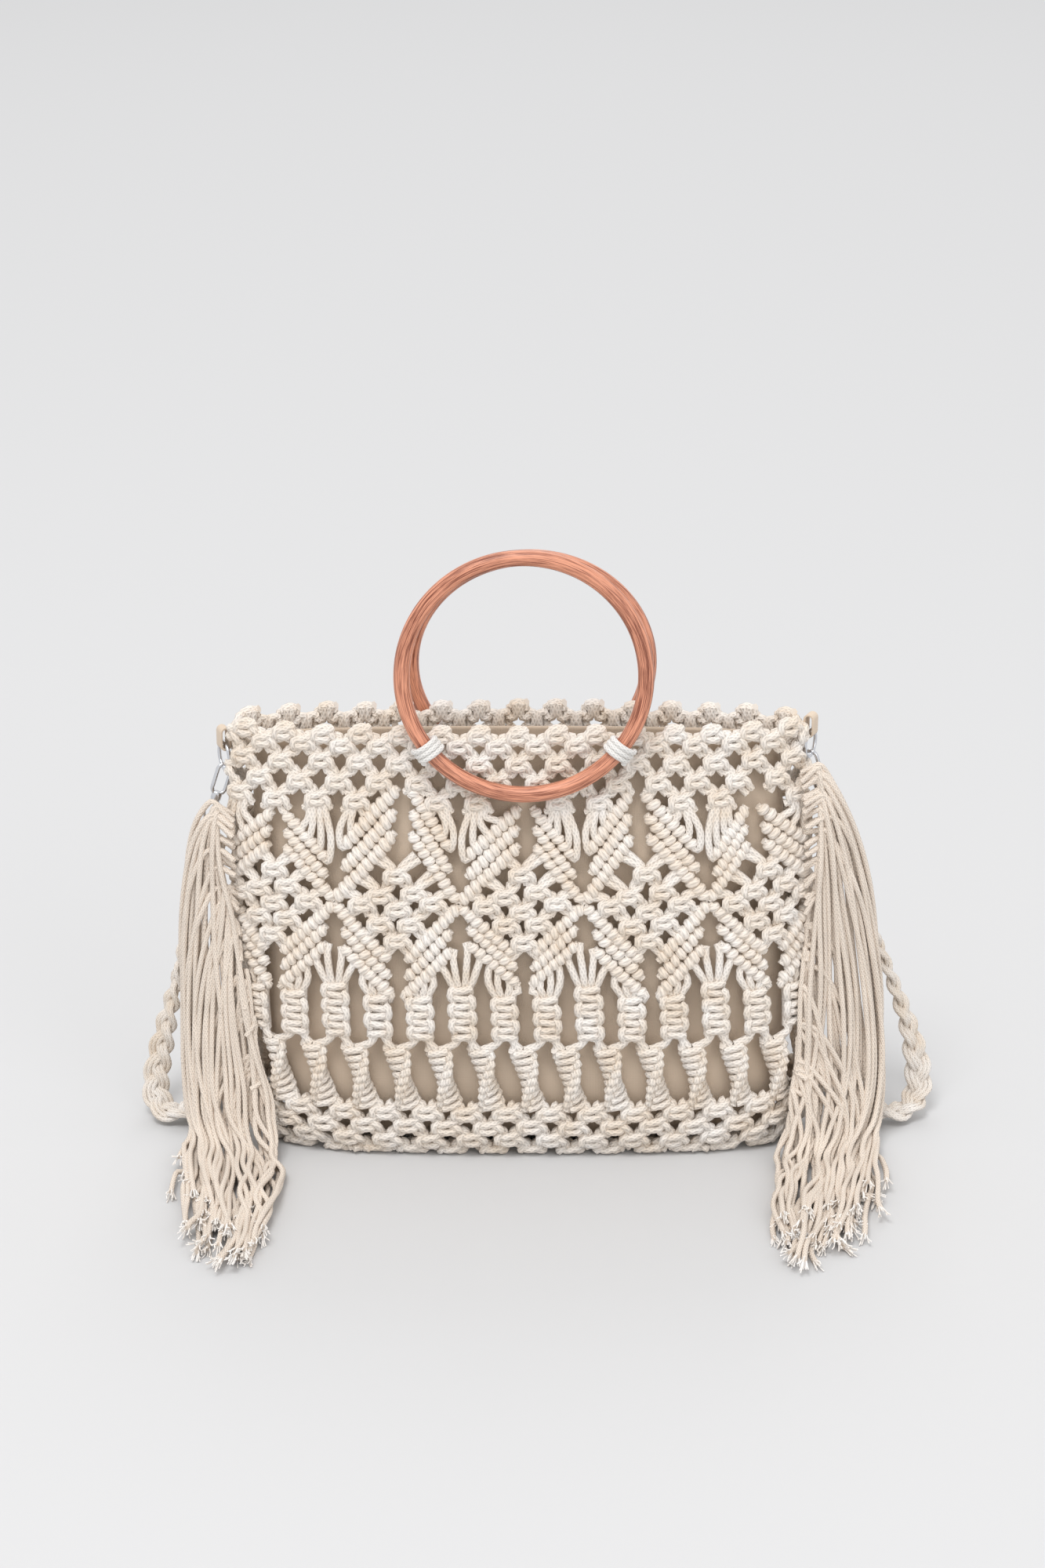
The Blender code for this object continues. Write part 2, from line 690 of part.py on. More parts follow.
def build_chrome_ring(name, frame, collection, material):
    """Round wire ring hanging in the tab."""
    points = []
    steps = 16
    for step in range(steps):
        turn = step / steps * 2.0 * math.pi
        points.append((0.0, CHROME_RING_RADIUS * math.cos(turn), CHROME_RING_RADIUS * math.sin(turn)))
    data = tube_mesh(name, points, CHROME_WIRE / 2.0, True, collection, 1)
    shade_smooth(data)
    item = add_object(name, data, collection, material)
    item.matrix_world = frame
    return item


def join_to(item, tool_data, matrix, cutters):
    """Fuse a closed mesh to an object and keep the result as its mesh."""
    tool = bpy.data.objects.new("fuse_tool", tool_data)
    cutters.objects.link(tool)
    tool.matrix_world = matrix
    tool.hide_render = True
    tool.display_type = "WIRE"
    modifier = item.modifiers.new("fuse", "BOOLEAN")
    modifier.operation = "UNION"
    modifier.solver = "EXACT"
    modifier.object = tool
    return tool


def build_snap_hook(name, frame, collection, cutters, material):
    """Clasp: a slotted hook on the ring, a barrel and an eye for the strap."""
    wire = CHROME_WIRE / 2.0
    top = -CHROME_RING_RADIUS + CHROME_WIRE + 2.0 * PIECE_GAP
    points = stadium(HOOK_HALF_WIDTH, HOOK_HALF_HEIGHT, 6)
    low = top - HOOK_HALF_HEIGHT
    hook = [(x, y, z + low) for x, y, z in points]
    data = tube_mesh(name, hook, wire, True, collection, 1)
    item = add_object(name, data, collection, material)
    item.matrix_world = frame
    bottom = low - HOOK_HALF_HEIGHT
    barrel = bmesh.new()
    bmesh.ops.create_cone(barrel, cap_ends=True, segments=12,
                          radius1=BARREL_RADIUS, radius2=BARREL_RADIUS, depth=BARREL_LENGTH)
    barrel_data = mesh_from(name + "_barrel", barrel)
    join_to(item, barrel_data, frame @ Matrix.Translation((0.0, 0.0, bottom - BARREL_DROP)), cutters)
    outline = stadium(EYE_HALF_WIDTH, EYE_HALF_HEIGHT, 6)
    eye = [(x, y, z + bottom - HOOK_EYE_DROP) for x, y, z in outline]
    eye_data = tube_mesh(name + "_eye", eye, wire, True, collection, 1)
    join_to(item, eye_data, frame, cutters)
    return item


def hook_foot(_, sign, lift, back, ring_share):
    """Two points just under the eye of a snap hook, the upper one first."""
    frame = hook_frame(sign, hardware_frame(sign, back, ring_share))
    upper = frame @ Vector((0.0, 0.0, -CHROME_RING_RADIUS - EYE_DROP))
    lower = frame @ Vector((0.0, 0.0, -CHROME_RING_RADIUS - EYE_DROP - STRAP_END))
    return [tuple(upper), tuple(lower)]


def strap_route():
    """Route points of the strap in metres."""
    route = []
    for table, sign in ((STRAP_LEFT, -1.0), (STRAP_RIGHT, 1.0)):
        if sign > 0.0:
            for side, back, share in STRAP_BACK:
                route.append((side * HALF_WIDTH, back * BODY_DEPTH, share * BODY_HEIGHT))
        for out, back, share in table:
            x = seam_out(share, sign) + sign * out * STRAP_OUT
            z = max(share * BODY_HEIGHT, STRAP_DIAMETER / 2.0 + PIECE_GAP)
            route.append((x, back * BODY_DEPTH, z))
    start = hook_foot(*SIDES[0])
    end = hook_foot(*SIDES[1])
    return start + route + end[::-1]


def build_strap(collection, material):
    """Braided strap as one round band along its route."""
    route = strap_route()
    fine = [smooth_route(route, step / 600.0) for step in range(601)]
    lengths = [0.0]
    for first, second in zip(fine, fine[1:]):
        lengths.append(lengths[-1] + (second - first).length)
    points = []
    index = 0
    for step in range(STRAP_POINTS):
        target = lengths[-1] * step / (STRAP_POINTS - 1)
        while index < len(lengths) - 2 and lengths[index + 1] < target:
            index += 1
        t = (target - lengths[index]) / max(lengths[index + 1] - lengths[index], 1e-9)
        points.append(fine[index].lerp(fine[index + 1], min(t, 1.0)))
    data = tube_mesh("shoulder_strap", points, STRAP_DIAMETER / 2.0, False, collection, 2)
    shade_smooth(data)
    return add_object("shoulder_strap", data, collection, material)


def main():
    """Build every sub-part."""
    clear_scene()
    collection = make_collection("macrame_handbag")
    cutters = make_collection("tools")
    cotton = net_cotton()
    canvas = lining_canvas()
    wood = handle_wood()
    chrome = polished_chrome()
    build_net("front_net", 1.0, collection, cotton)
    build_net("back_net", -1.0, collection, cotton)
    build_base(collection, cotton)
    build_lining(collection, canvas)
    build_ring("front_handle_ring", FRONT_RING_SIDE, 1.0, FRONT_RING_LEAN, collection, wood)
    build_ring("back_handle_ring", BACK_RING_SIDE, -1.0, BACK_RING_LEAN, collection, wood)
    turns = wrap_cotton()
    for panel, facing, place, lean in (("front", 1.0, FRONT_RING_SIDE, FRONT_RING_LEAN),
                                       ("back", -1.0, BACK_RING_SIDE, BACK_RING_LEAN)):
        build_wrap(panel + "_left_wrap", place, facing, lean, -1.0, collection, turns)
        build_wrap(panel + "_right_wrap", place, facing, lean, 1.0, collection, turns)
    cords = fringe_cotton()
    for side, sign, lift, back, ring_share in SIDES:
        build_fringe(side + "_fringe", sign, lift, collection, cords)
        frame = hardware_frame(sign, back, ring_share)
        build_tab(side + "_tab", frame, collection, canvas)
        build_chrome_ring(side + "_chrome_ring", frame, collection, chrome)
        build_snap_hook(side + "_snap_hook", hook_frame(sign, frame), collection, cutters, chrome)
    build_strap(collection, strap_cotton())


main()
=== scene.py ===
"""Macrame handbag: knotted cotton panels, canvas lining, wooden ring handles, fringes and a braided strap."""
import math
import random

import bmesh
import bpy
import numpy as np
from mathutils import Matrix, Vector


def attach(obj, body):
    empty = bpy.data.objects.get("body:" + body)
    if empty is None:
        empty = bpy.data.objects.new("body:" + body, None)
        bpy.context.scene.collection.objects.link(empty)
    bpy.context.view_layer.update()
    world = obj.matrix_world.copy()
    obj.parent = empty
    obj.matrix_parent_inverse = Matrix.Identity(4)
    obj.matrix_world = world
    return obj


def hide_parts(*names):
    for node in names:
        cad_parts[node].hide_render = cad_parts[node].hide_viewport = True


bl_info = {
    "name": "Macrame Handbag",
    "version": (1, 0, 0),
    "blender": (4, 5, 0),
    "location": "3D View > Sidebar > Handbag",
    "description": "Builds the looks of a macrame handbag over its solid model",
    "category": "Object",
}

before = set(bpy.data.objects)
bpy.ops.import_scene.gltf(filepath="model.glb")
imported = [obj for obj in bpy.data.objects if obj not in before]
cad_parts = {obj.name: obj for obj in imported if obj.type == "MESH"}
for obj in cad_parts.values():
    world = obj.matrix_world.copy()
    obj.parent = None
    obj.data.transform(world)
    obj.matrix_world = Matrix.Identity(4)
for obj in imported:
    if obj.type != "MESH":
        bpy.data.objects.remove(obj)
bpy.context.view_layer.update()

# Sizes of the solid model, in metres.
BODY_WIDTH = 0.336
BODY_DEPTH = 0.088
BODY_HEIGHT = 0.257
NET_THICKNESS = 0.007
RING_RADIUS = 0.0698
RING_TUBE = 0.0047
TIE_SPREAD = 0.785
TIE_ACROSS = 0.28
FRINGE_OUT = 0.045
FRINGE_REACH = 0.170
FRINGE_THICKNESS = 0.009
FRINGE_SEAT = 0.0009
STRAP_DIAMETER = 0.013
STRAP_OUT = 0.060
CHROME_RING_RADIUS = 0.0085
CHROME_WIRE = 0.0024
EYE_DROP = 0.0340
HALF_WIDTH = BODY_WIDTH / 2.0
HALF_DEPTH = BODY_DEPTH / 2.0

# Body sections: height share, half width and half depth shares, squareness, sideways shift.
SECTIONS = (
    (0.00, 0.925, 0.790, 3.0, 0.036),
    (0.05, 0.965, 0.960, 3.0, 0.034),
    (0.12, 0.985, 1.000, 2.9, 0.030),
    (0.30, 0.995, 1.000, 2.8, 0.020),
    (0.55, 1.000, 0.890, 2.7, 0.005),
    (0.80, 1.000, 0.670, 2.5, -0.008),
    (0.95, 0.985, 0.500, 2.3, -0.012),
    (1.06, 0.965, 0.430, 2.3, -0.012),
)

# Fringe guides from the seam to the tips: out, back and height, as shares of the sizes above.
INNER_GUIDE = (
    (0.12, -0.100, 0.830),
    (0.10, -0.110, 0.700),
    (-0.06, -0.120, 0.520),
    (-0.20, -0.170, 0.330),
    (-0.32, -0.215, 0.150),
    (-0.36, -0.300, 0.040),
    (-0.42, -0.440, 0.022),
    (-0.50, -0.660, 0.022),
    (-0.58, -0.920, 0.022),
)
MIDDLE_GUIDE = (
    (0.20, -0.080, 0.865),
    (0.46, -0.085, 0.780),
    (0.66, -0.085, 0.600),
    (0.78, -0.080, 0.380),
    (0.78, -0.130, 0.170),
    (0.66, -0.230, 0.042),
    (0.48, -0.460, 0.022),
    (0.26, -0.760, 0.022),
    (0.06, -1.080, 0.022),
)
OUTER_GUIDE = (
    (0.22, -0.050, 0.830),
    (0.44, -0.045, 0.740),
    (0.66, -0.010, 0.540),
    (0.80, 0.010, 0.330),
    (0.88, -0.010, 0.180),
    (0.93, -0.085, 0.075),
    (0.99, -0.190, 0.030),
    (1.06, -0.360, 0.022),
    (1.12, -0.620, 0.022),
)
# Sides: name, sign of x, lift of the fringe head, depth of the tab, height share of the chrome ring.
SIDES = (
    ("left", -1.0, 0.00, 0.006, 0.925),
    ("right", 1.0, 0.10, 0.007, 0.955),
)
# Shifts of each fringe out from the body: half way, and at the inner tips.
LEFT_FRINGE_SHIFT = (-0.24, 0.42)
RIGHT_FRINGE_SHIFT = (-0.04, 0.02)

# Where the cords of a fringe leave the seam, as shares of the fringe.
FRINGE_STARTS = (0.0, 0.30, 0.05, 0.17, 0.40, 0.10, 0.24, 0.02, 0.47, 0.14, 0.07, 0.35)

# Strap route from the left hook round the back to the right hook, as in the solid model.
STRAP_LEFT = (
    (0.200, 0.165, 0.690),
    (0.300, 0.290, 0.620),
    (0.500, 0.400, 0.480),
    (0.720, 0.430, 0.310),
    (0.930, 0.360, 0.155),
    (1.060, 0.225, 0.060),
    (1.010, 0.060, 0.0285),
    (0.820, 0.020, 0.0285),
    (0.600, 0.190, 0.0285),
    (0.370, 0.470, 0.0285),
)
STRAP_BACK = (
    (-0.930, 0.720, 0.0285),
    (-0.600, 0.860, 0.0285),
    (-0.200, 0.900, 0.0285),
    (0.200, 0.880, 0.0285),
    (0.600, 0.840, 0.0285),
    (0.930, 0.720, 0.0285),
)
STRAP_RIGHT = (
    (0.370, 0.470, 0.0285),
    (0.600, 0.190, 0.0285),
    (0.830, 0.040, 0.0285),
    (1.080, 0.060, 0.0285),
    (1.190, 0.230, 0.060),
    (1.100, 0.340, 0.160),
    (0.880, 0.400, 0.310),
    (0.600, 0.400, 0.480),
    (0.330, 0.340, 0.620),
    (0.200, 0.200, 0.710),
)

# The column of knots that lies on a side seam.
SEAM_COLUMN = 15
# Knot pattern of a panel, in millimetres: half span from the middle to a seam, and the
# half pitch of its columns.
HALF_SPAN = 190.0
STEP = HALF_SPAN / SEAM_COLUMN
# Diamonds: column of the middle, upper point's column, its height, and the lower point's height.
DIAMONDS = (
    (-12, -11.9, 214.0, 105.0),
    (-6, -5.7, 231.5, 102.5),
    (0, 0.35, 220.0, 110.5),
    (6, 5.9, 228.5, 102.5),
    (12, 11.6, 217.5, 105.0),
)
CROSSING_HEIGHT = 161.0
# Ends of the three bars of a leaf: millimetres across, then share of the leaf's height.
LEAF_STARTS = ((4.6, 0.05), (6.0, 0.24), (6.0, 0.42))
LEAF_ENDS = ((6.0, 0.48), (6.0, 0.285), (1.0, 0.03))
TOP_ROWS = (259.8, 254.0, 243.5, 232.0, 221.0)
BOTTOM_ROWS = (30.5, 21.5, 12.5, 3.5)
SINNET_FOOT = 78.5
SPIRAL_TOP = 72.5
SPIRAL_FOOT = 33.0
SPIRAL_LEAN = 6.0
# Knots inside a diamond: column, row, and place from the crossing.
CENTRE_KNOTS = (
    (0, -1, 0.8, 17.5),
    (-1, 0, -9.8, 5.0),
    (1, 0, 10.2, 7.5),
    (-2, 1, -21.5, -1.0),
    (0, 1, 0.6, -3.5),
    (2, 1, 21.6, 0.6),
    (-1, 2, -9.2, -12.5),
    (1, 2, 9.0, -11.5),
    (0, 3, 0.2, -22.0),
)
# Cords of one square knot: across, up and outwards from its middle.
KNOT_LEFT = ((-2.6, 5.0, 0.6), (-1.7, 0.5, 0.2), (-2.4, -4.8, 0.6))
KNOT_RIGHT = ((2.6, 5.0, 0.6), (1.7, 0.5, 0.2), (2.6, -4.8, 0.6))
KNOT_UPPER = ((6.6, 5.2, 1.8), (3.9, 3.7, 3.4), (0.2, 2.7, 3.9), (-3.3, 1.6, 3.4), (-5.0, 0.8, 2.0))
KNOT_HEAD = ((-5.2, 1.8, 2.4), (-4.4, 4.2, 2.6), (-0.8, 5.2, 2.6), (3.2, 4.6, 2.6), (5.6, 2.4, 2.2),
             (5.4, 0.0, 1.6))
KNOT_TUCK = ((-5.0, 5.0, 1.0), (-3.2, 3.4, 1.6), (-0.6, 1.0, 1.4))
KNOT_LOOP = ((-3.4, 0.8, 2.0), (-5.2, 3.0, 2.9), (-6.9, 1.4, 3.7), (-7.1, -1.8, 3.6), (-6.0, -4.4, 2.4))
KNOT_LOWER = ((-5.4, -2.0, 2.0), (-3.2, -2.5, 3.5), (0.0, -2.7, 3.9), (3.0, -2.3, 3.5), (4.9, -1.4, 1.9))
KNOT_TURN = ((2.6, 0.8, 2.2), (5.2, 1.2, 3.3), (7.4, -0.8, 3.2), (8.2, -3.8, 2.0))
# Half the distance between the two cords of a pair between knots, and how far they stand out.
PAIR_HALF = 2.2
PAIR_OUT = 0.7
# Distance between the points of a cord of a panel, and how far a cord strays.
PANEL_SPACING = 2.2
UNEVENNESS = 0.25
# Stitches of a braided cord: round it, and in one width along it.
STITCH_SLANT = 6.0
STITCHES_ALONG = 1.1
# How much thicker than the net's cord the turns of a leaf are.
LEAF_SWELL = 1.18
# Room between the floor and the lowest cords, in metres.
FLOOR_GAP = 0.0002
# Thickness of the lining, distance within which points merge, and rounding of a tab's edges.
LINING_CLOTH = 0.0009
MERGE_DISTANCE = 0.00001
TAB_EDGE = 0.0003
# Fringe: number of cords, their layers behind one another, and the thickness of a loose strand.
FRINGE_COUNT = 56
FRINGE_LAYERS = (-0.0026, 0.0, 0.0026)
FRAY_RADIUS = 0.00042
WRAP_LENGTH = 0.0135
WRAP_SAG = WRAP_LENGTH ** 2 / (8.0 * RING_RADIUS)
WRAP_BORE = (RING_TUBE + 0.0004 + WRAP_SAG) / math.cos(math.pi / 10.0)
RING_OFFSET = NET_THICKNESS / 2.0 + WRAP_BORE + 0.0034 + 1.2 * 0.0004
RINGS = (
    ("front", 0.0015, 1.0, math.radians(4.0), 0.9942 * BODY_HEIGHT),
    ("back", 0.0050, -1.0, math.radians(10.0), 0.953 * BODY_HEIGHT),
)
HOOK_TURN = math.radians(25.0)
HOOK_SWING = math.radians(20.0)
TAB_WIDTH = 0.008
TAB_CLOTH = 0.0012
TAB_HALF_HEIGHT = 0.0072
TAB_SEAT = 0.0016
PIECE_GAP = 0.0004
# Lights: name, place, size and power.
LAMPS = (
    ("key", (-1.0, -2.4, 5.2), 2.2, 145.0),
    ("fill", (2.4, -3.2, 2.0), 2.0, 20.0),
    ("back", (0.3, 5.0, 5.0), 3.0, 70.0),
)


def settings():
    """The sizes and colours of this bag."""
    return bpy.context.scene.handbag


def blend(low, slope_low, high, slope_high, t):
    """A smooth step from one value to the next with a slope at each."""
    a = 2.0 * t ** 3 - 3.0 * t ** 2 + 1.0
    b = t ** 3 - 2.0 * t ** 2 + t
    c = -2.0 * t ** 3 + 3.0 * t ** 2
    d = t ** 3 - t ** 2
    return low * a + slope_low * b + high * c + slope_high * d


def smooth_row(table, key):
    """Read a table of numbers at a key in its first column, as a smooth curve."""
    key = min(max(key, table[0][0]), table[-1][0])
    index = sum(key > row[0] for row in table[1:-1])
    low, high = table[index:index + 2]
    before = table[max(index - 1, 0)]
    after = table[min(index + 2, len(table) - 1)]
    span = high[0] - low[0]
    values = []
    for column in range(1, len(low)):
        slope_low = (high[column] - before[column]) / (high[0] - before[0]) * span
        slope_high = (after[column] - low[column]) / (after[0] - low[0]) * span
        values.append(blend(low[column], slope_low, high[column], slope_high, (key - low[0]) / span))
    return values


def smooth_line(points, spacing):
    """A smooth line through points, as an array of points about spacing apart."""
    points = np.asarray(points, dtype=float)
    ends = np.vstack([points[:1], points, points[-1:]])
    slopes = (ends[2:] - ends[:-2]) * 0.5
    gaps = np.linalg.norm(np.diff(points, axis=0), axis=1)
    pieces = []
    for index, count in enumerate(np.maximum(1, np.round(gaps / spacing).astype(int))):
        t = (np.arange(count) / count)[:, None]
        pieces.append(blend(points[index], slopes[index], points[index + 1], slopes[index + 1], t))
    return np.vstack(pieces + [points[-1:]])


def smooth_route(points, share):
    """Read a list of route points at a share of its length, as a smooth curve."""
    last = len(points) - 1
    place = min(max(share, 0.0), 1.0) * last
    index = min(int(place), last - 1)
    steps = (max(index - 1, 0), index, index + 1, min(index + 2, last))
    before, low, high, after = (Vector(points[step]) for step in steps)
    return blend(low, (high - before) * 0.5, high, (after - low) * 0.5, place - index)


def even_line(points, count):
    """The same line with count points at even distances."""
    lengths = np.concatenate([[0.0], np.cumsum(np.linalg.norm(np.diff(points, axis=0), axis=1))])
    target = np.linspace(0.0, lengths[-1], count)
    return np.stack([np.interp(target, lengths, points[:, k]) for k in range(3)], axis=1)


def line_length(points):
    """Length of a line of points."""
    return float(np.linalg.norm(np.diff(points, axis=0), axis=1).sum())


def outline_quarter(half_width, half_depth, squareness, steps=160):
    """Quarter outline from the middle of the front to the side seam, with its running length."""
    turn = np.linspace(0.0, math.pi / 2.0, steps)
    x = half_width * np.sin(turn) ** (2.0 / squareness)
    y = half_depth * np.abs(np.cos(turn)) ** (2.0 / squareness)
    length = np.concatenate([[0.0], np.cumsum(np.hypot(np.diff(x), np.diff(y)))])
    return x, y, length / length[-1]


def body_grid():
    """Middle surface of a knotted panel: points and outward directions over a grid of shares."""
    across = np.linspace(-1.10, 1.10, 221)
    shares = np.linspace(0.0, 1.08, 136)
    points = np.zeros((len(across), len(shares), 3))
    for column, share in enumerate(shares):
        width, depth, squareness, shift = smooth_row(SECTIONS, share)
        x, y, length = outline_quarter(width * HALF_WIDTH, depth * HALF_DEPTH, squareness)
        folded = 1.0 - np.abs(1.0 - np.abs(across))
        px = np.interp(folded, length, x) * np.sign(across) + shift * HALF_WIDTH
        py = -np.interp(folded, length, y) * np.where(np.abs(across) > 1.0, -1.0, 1.0)
        points[:, column, 0] = px
        points[:, column, 1] = py
        points[:, column, 2] = share * BODY_HEIGHT
    along = np.gradient(points, axis=0)
    up = np.gradient(points, axis=1)
    out = np.cross(along, up)
    out /= np.maximum(np.linalg.norm(out, axis=2, keepdims=True), 1e-12)
    return across, shares, points, out


BODY_GRID = body_grid()


def on_body(line, facing):
    """Place a line given as across, height and outward distance in millimetres on a panel."""
    line = np.asarray(line, dtype=float)
    across, shares, points, out = BODY_GRID
    a = np.clip((line[:, 0] / HALF_SPAN - across[0]) / (across[1] - across[0]), 0, len(across) - 1.001)
    s = np.clip((line[:, 1] / 1000.0 / BODY_HEIGHT) / (shares[1] - shares[0]), 0, len(shares) - 1.001)
    i = a.astype(int)
    j = s.astype(int)
    fa = (a - i)[:, None]
    fs = (s - j)[:, None]
    result = 0.0
    for di, wi in ((0, 1.0 - fa), (1, fa)):
        for dj, wj in ((0, 1.0 - fs), (1, fs)):
            spot = points[i + di, j + dj] + out[i + di, j + dj] * line[:, 2:3] / 1000.0
            result = result + spot * wi * wj
    result[:, 2] = np.maximum(result[:, 2], settings().cord_width / 2.0 + FLOOR_GAP)
    result[:, 1] *= facing
    return result


def on_base(line):
    """Place a line given as across, depth and downward distance in millimetres under the bag."""
    line = np.asarray(line, dtype=float)
    shift = SECTIONS[0][4] * HALF_WIDTH
    height = np.maximum(0.0040 - line[:, 2] / 1000.0 * 0.25, settings().cord_width / 2.0 + FLOOR_GAP)
    return np.stack([line[:, 0] / 1000.0 + shift, line[:, 1] / 1000.0, height], 1)


def add_node(tree, kind, values=(), fed=(), **looks):
    """A shader node with its settings, its fixed values and the outputs that feed it."""
    node = tree.nodes.new("ShaderNode" + kind)
    for name, value in looks.items():
        setattr(node, name, value)
    for socket, value in dict(values).items():
        node.inputs[socket].default_value = value
    for socket, output in dict(fed).items():
        tree.links.new(output, node.inputs[socket])
    return node


def add_math(tree, operation, *terms):
    """The result of a math node whose terms are numbers or outputs."""
    node = add_node(tree, "Math", operation=operation)
    for socket, term in zip(node.inputs, terms):
        if isinstance(term, float):
            socket.default_value = term
        else:
            tree.links.new(term, socket)
    return node.outputs[0]


def add_ramp(tree, factor, low, high, low_place, high_place):
    """The colour of a ramp between two colours at two places."""
    ramp = add_node(tree, "ValToRGB", fed={"Fac": factor})
    for stop, colour, place in zip(ramp.color_ramp.elements, (low, high), (low_place, high_place)):
        stop.position = place
        stop.color = (*colour, 1.0)
    return ramp.outputs["Color"]


def noise_ramp(tree, place, scale, detail, low, high):
    """Noise read through a colour ramp from one colour to another."""
    noise = add_node(tree, "TexNoise", {"Scale": scale, "Detail": detail}, {"Vector": place})
    return add_ramp(tree, noise.outputs["Fac"], low, high, 0.32, 0.68)


def add_relief(tree, shader, height, strength, depth):
    """Fine relief on a finish."""
    bump = add_node(tree, "Bump", {"Strength": strength, "Distance": depth}, {"Height": height})
    tree.links.new(bump.outputs["Normal"], shader.inputs["Normal"])


def new_material(name, values):
    """A new finish with its node tree, its shader and its place in the object."""
    material = bpy.data.materials.new(name)
    material.use_nodes = True
    tree = material.node_tree
    shader = tree.nodes["Principled BSDF"]
    for socket, value in values.items():
        shader.inputs[socket].default_value = value
    return material, tree, shader, add_node(tree, "TexCoord").outputs["Object"]


def cord_material(name, colour, shade):
    """Braided cotton cord: slanting stitches along the cord with painted shade in the grooves between them,
    soft colour change and a fine fuzz.
    """
    material, tree, shader, place = new_material(name, {
        "Roughness": 0.9, "Sheen Weight": 0.12, "Sheen Roughness": 0.5, "Specular IOR Level": 0.25})
    uv = add_node(tree, "UVMap", uv_map="UVMap")
    parts = add_node(tree, "SeparateXYZ", fed={"Vector": uv.outputs["UV"]}).outputs
    waves = []
    for slant in (STITCH_SLANT, -STITCH_SLANT):
        around = add_math(tree, "MULTIPLY", parts["Y"], slant)
        turns = add_math(tree, "MULTIPLY_ADD", parts["X"], STITCHES_ALONG, around)
        waves.append(add_math(tree, "SINE", add_math(tree, "MULTIPLY", turns, 2.0 * math.pi)))
    stitches = add_math(tree, "MAXIMUM", *waves)
    fuzz = add_node(tree, "TexNoise", {"Scale": 1800.0, "Detail": 3.0}, {"Vector": place})
    height = add_math(tree, "MULTIPLY_ADD", fuzz.outputs["Fac"], 0.6, stitches)
    add_relief(tree, shader, height, 0.55, 0.0004)
    # Painted shade: the colour is darkened in the grooves between the stitches, where shade falls.
    painted_groove_shade = add_node(tree, "MapRange", {"From Min": -0.7, "From Max": 0.8, "To Min": 0.80, "To Max": 1.0},
                      {"Value": stitches})
    ramp = noise_ramp(tree, place, 55.0, 5.0, shade, colour)
    # The painted groove shade is multiplied into the noisy cord colour.
    colour_with_painted_shade = add_node(tree, "Mix", {"Factor": 1.0}, {"A": ramp, "B": painted_groove_shade.outputs["Result"]},
                    data_type="RGBA", blend_type="MULTIPLY")
    tree.links.new(colour_with_painted_shade.outputs["Result"], shader.inputs["Base Color"])
    return material


def fray_material(name, colour):
    """Loose cotton strands, paler than the cord."""
    material, tree, shader, place = new_material(name, {
        "Roughness": 1.0, "Sheen Weight": 0.3, "Specular IOR Level": 0.2})
    base = Vector(colour).lerp(Vector((0.95, 0.94, 0.92)), 0.5)
    pale = Vector(colour).lerp(Vector((0.96, 0.95, 0.94)), 0.9)
    tree.links.new(noise_ramp(tree, place, 90.0, 2.0, base, pale), shader.inputs["Base Color"])
    return material


def canvas_material(name, colour):
    """Plain woven canvas, a little uneven in colour."""
    material, tree, shader, place = new_material(name, {
        "Roughness": 0.92, "Sheen Weight": 0.15, "Specular IOR Level": 0.2})
    ramp = noise_ramp(tree, place, 14.0, 3.0, colour * 0.86, colour)
    tree.links.new(ramp, shader.inputs["Base Color"])
    threads = [add_node(tree, "TexWave", {"Scale": 330.0, "Distortion": 0.6}, {"Vector": place},
                        bands_direction=direction).outputs["Fac"] for direction in ("X", "Z")]
    add_relief(tree, shader, add_math(tree, "MAXIMUM", *threads), 0.35, 0.0003)
    return material


def wood_material(name, colour, streak):
    """Reddish-brown wood with long fine streaks and a satin finish."""
    material, tree, shader, _ = new_material(name, {
        "Roughness": 0.42, "Coat Weight": 0.15, "Coat Roughness": 0.3})
    grain = add_node(tree, "Attribute", attribute_name="grain").outputs["Vector"]
    turn = add_node(tree, "Attribute", attribute_name="grain_turn").outputs["Fac"]
    streaks = []
    for scale, low, high in ((1.0, 0.36, 0.62), (3.1, 0.40, 0.60)):
        noise = add_node(tree, "TexNoise", {"Scale": scale, "Detail": 5.0, "Roughness": 0.6},
                         noise_dimensions="4D")
        tree.links.new(grain, noise.inputs["Vector"])
        tree.links.new(turn, noise.inputs["W"])
        spread = add_node(tree, "MapRange", {"From Min": low, "From Max": high},
                          {"Value": noise.outputs["Fac"]})
        streaks.append(spread.outputs["Result"])
    coarse = add_math(tree, "MULTIPLY", streaks[0], 0.5)
    both = add_math(tree, "MULTIPLY_ADD", streaks[1], 0.5, coarse)
    tree.links.new(add_ramp(tree, both, streak, colour, 0.18, 0.72), shader.inputs["Base Color"])
    add_relief(tree, shader, both, 0.35, 0.0003)
    return material


def chrome_material(name):
    """Polished chrome with faint wear."""
    material, tree, shader, place = new_material(name, {
        "Base Color": (0.66, 0.67, 0.70, 1.0), "Metallic": 1.0, "Roughness": 0.14})
    noise = add_node(tree, "TexNoise", {"Scale": 260.0}, {"Vector": place})
    wear = add_node(tree, "MapRange", {"To Min": 0.10, "To Max": 0.26}, {"Value": noise.outputs["Fac"]})
    tree.links.new(wear.outputs["Result"], shader.inputs["Roughness"])
    return material


def floor_material(name, colour):
    """Plain pale matt floor."""
    return new_material(name, {"Base Color": (*colour, 1.0), "Roughness": 1.0, "Specular IOR Level": 0.0})[0]


def add_object(name, data):
    """An object in the scene."""
    item = bpy.data.objects.new(name, data)
    bpy.context.scene.collection.objects.link(item)
    return item


def add_piece(name, data, material, slot, *nodes):
    """Put a finished mesh in the scene, on the body, with its finish and the solids it replaces."""
    item = add_object(name, data)
    data.materials.clear()
    data.materials.append(material)
    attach(item, "root")
    if nodes:
        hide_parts(*nodes)
    return item


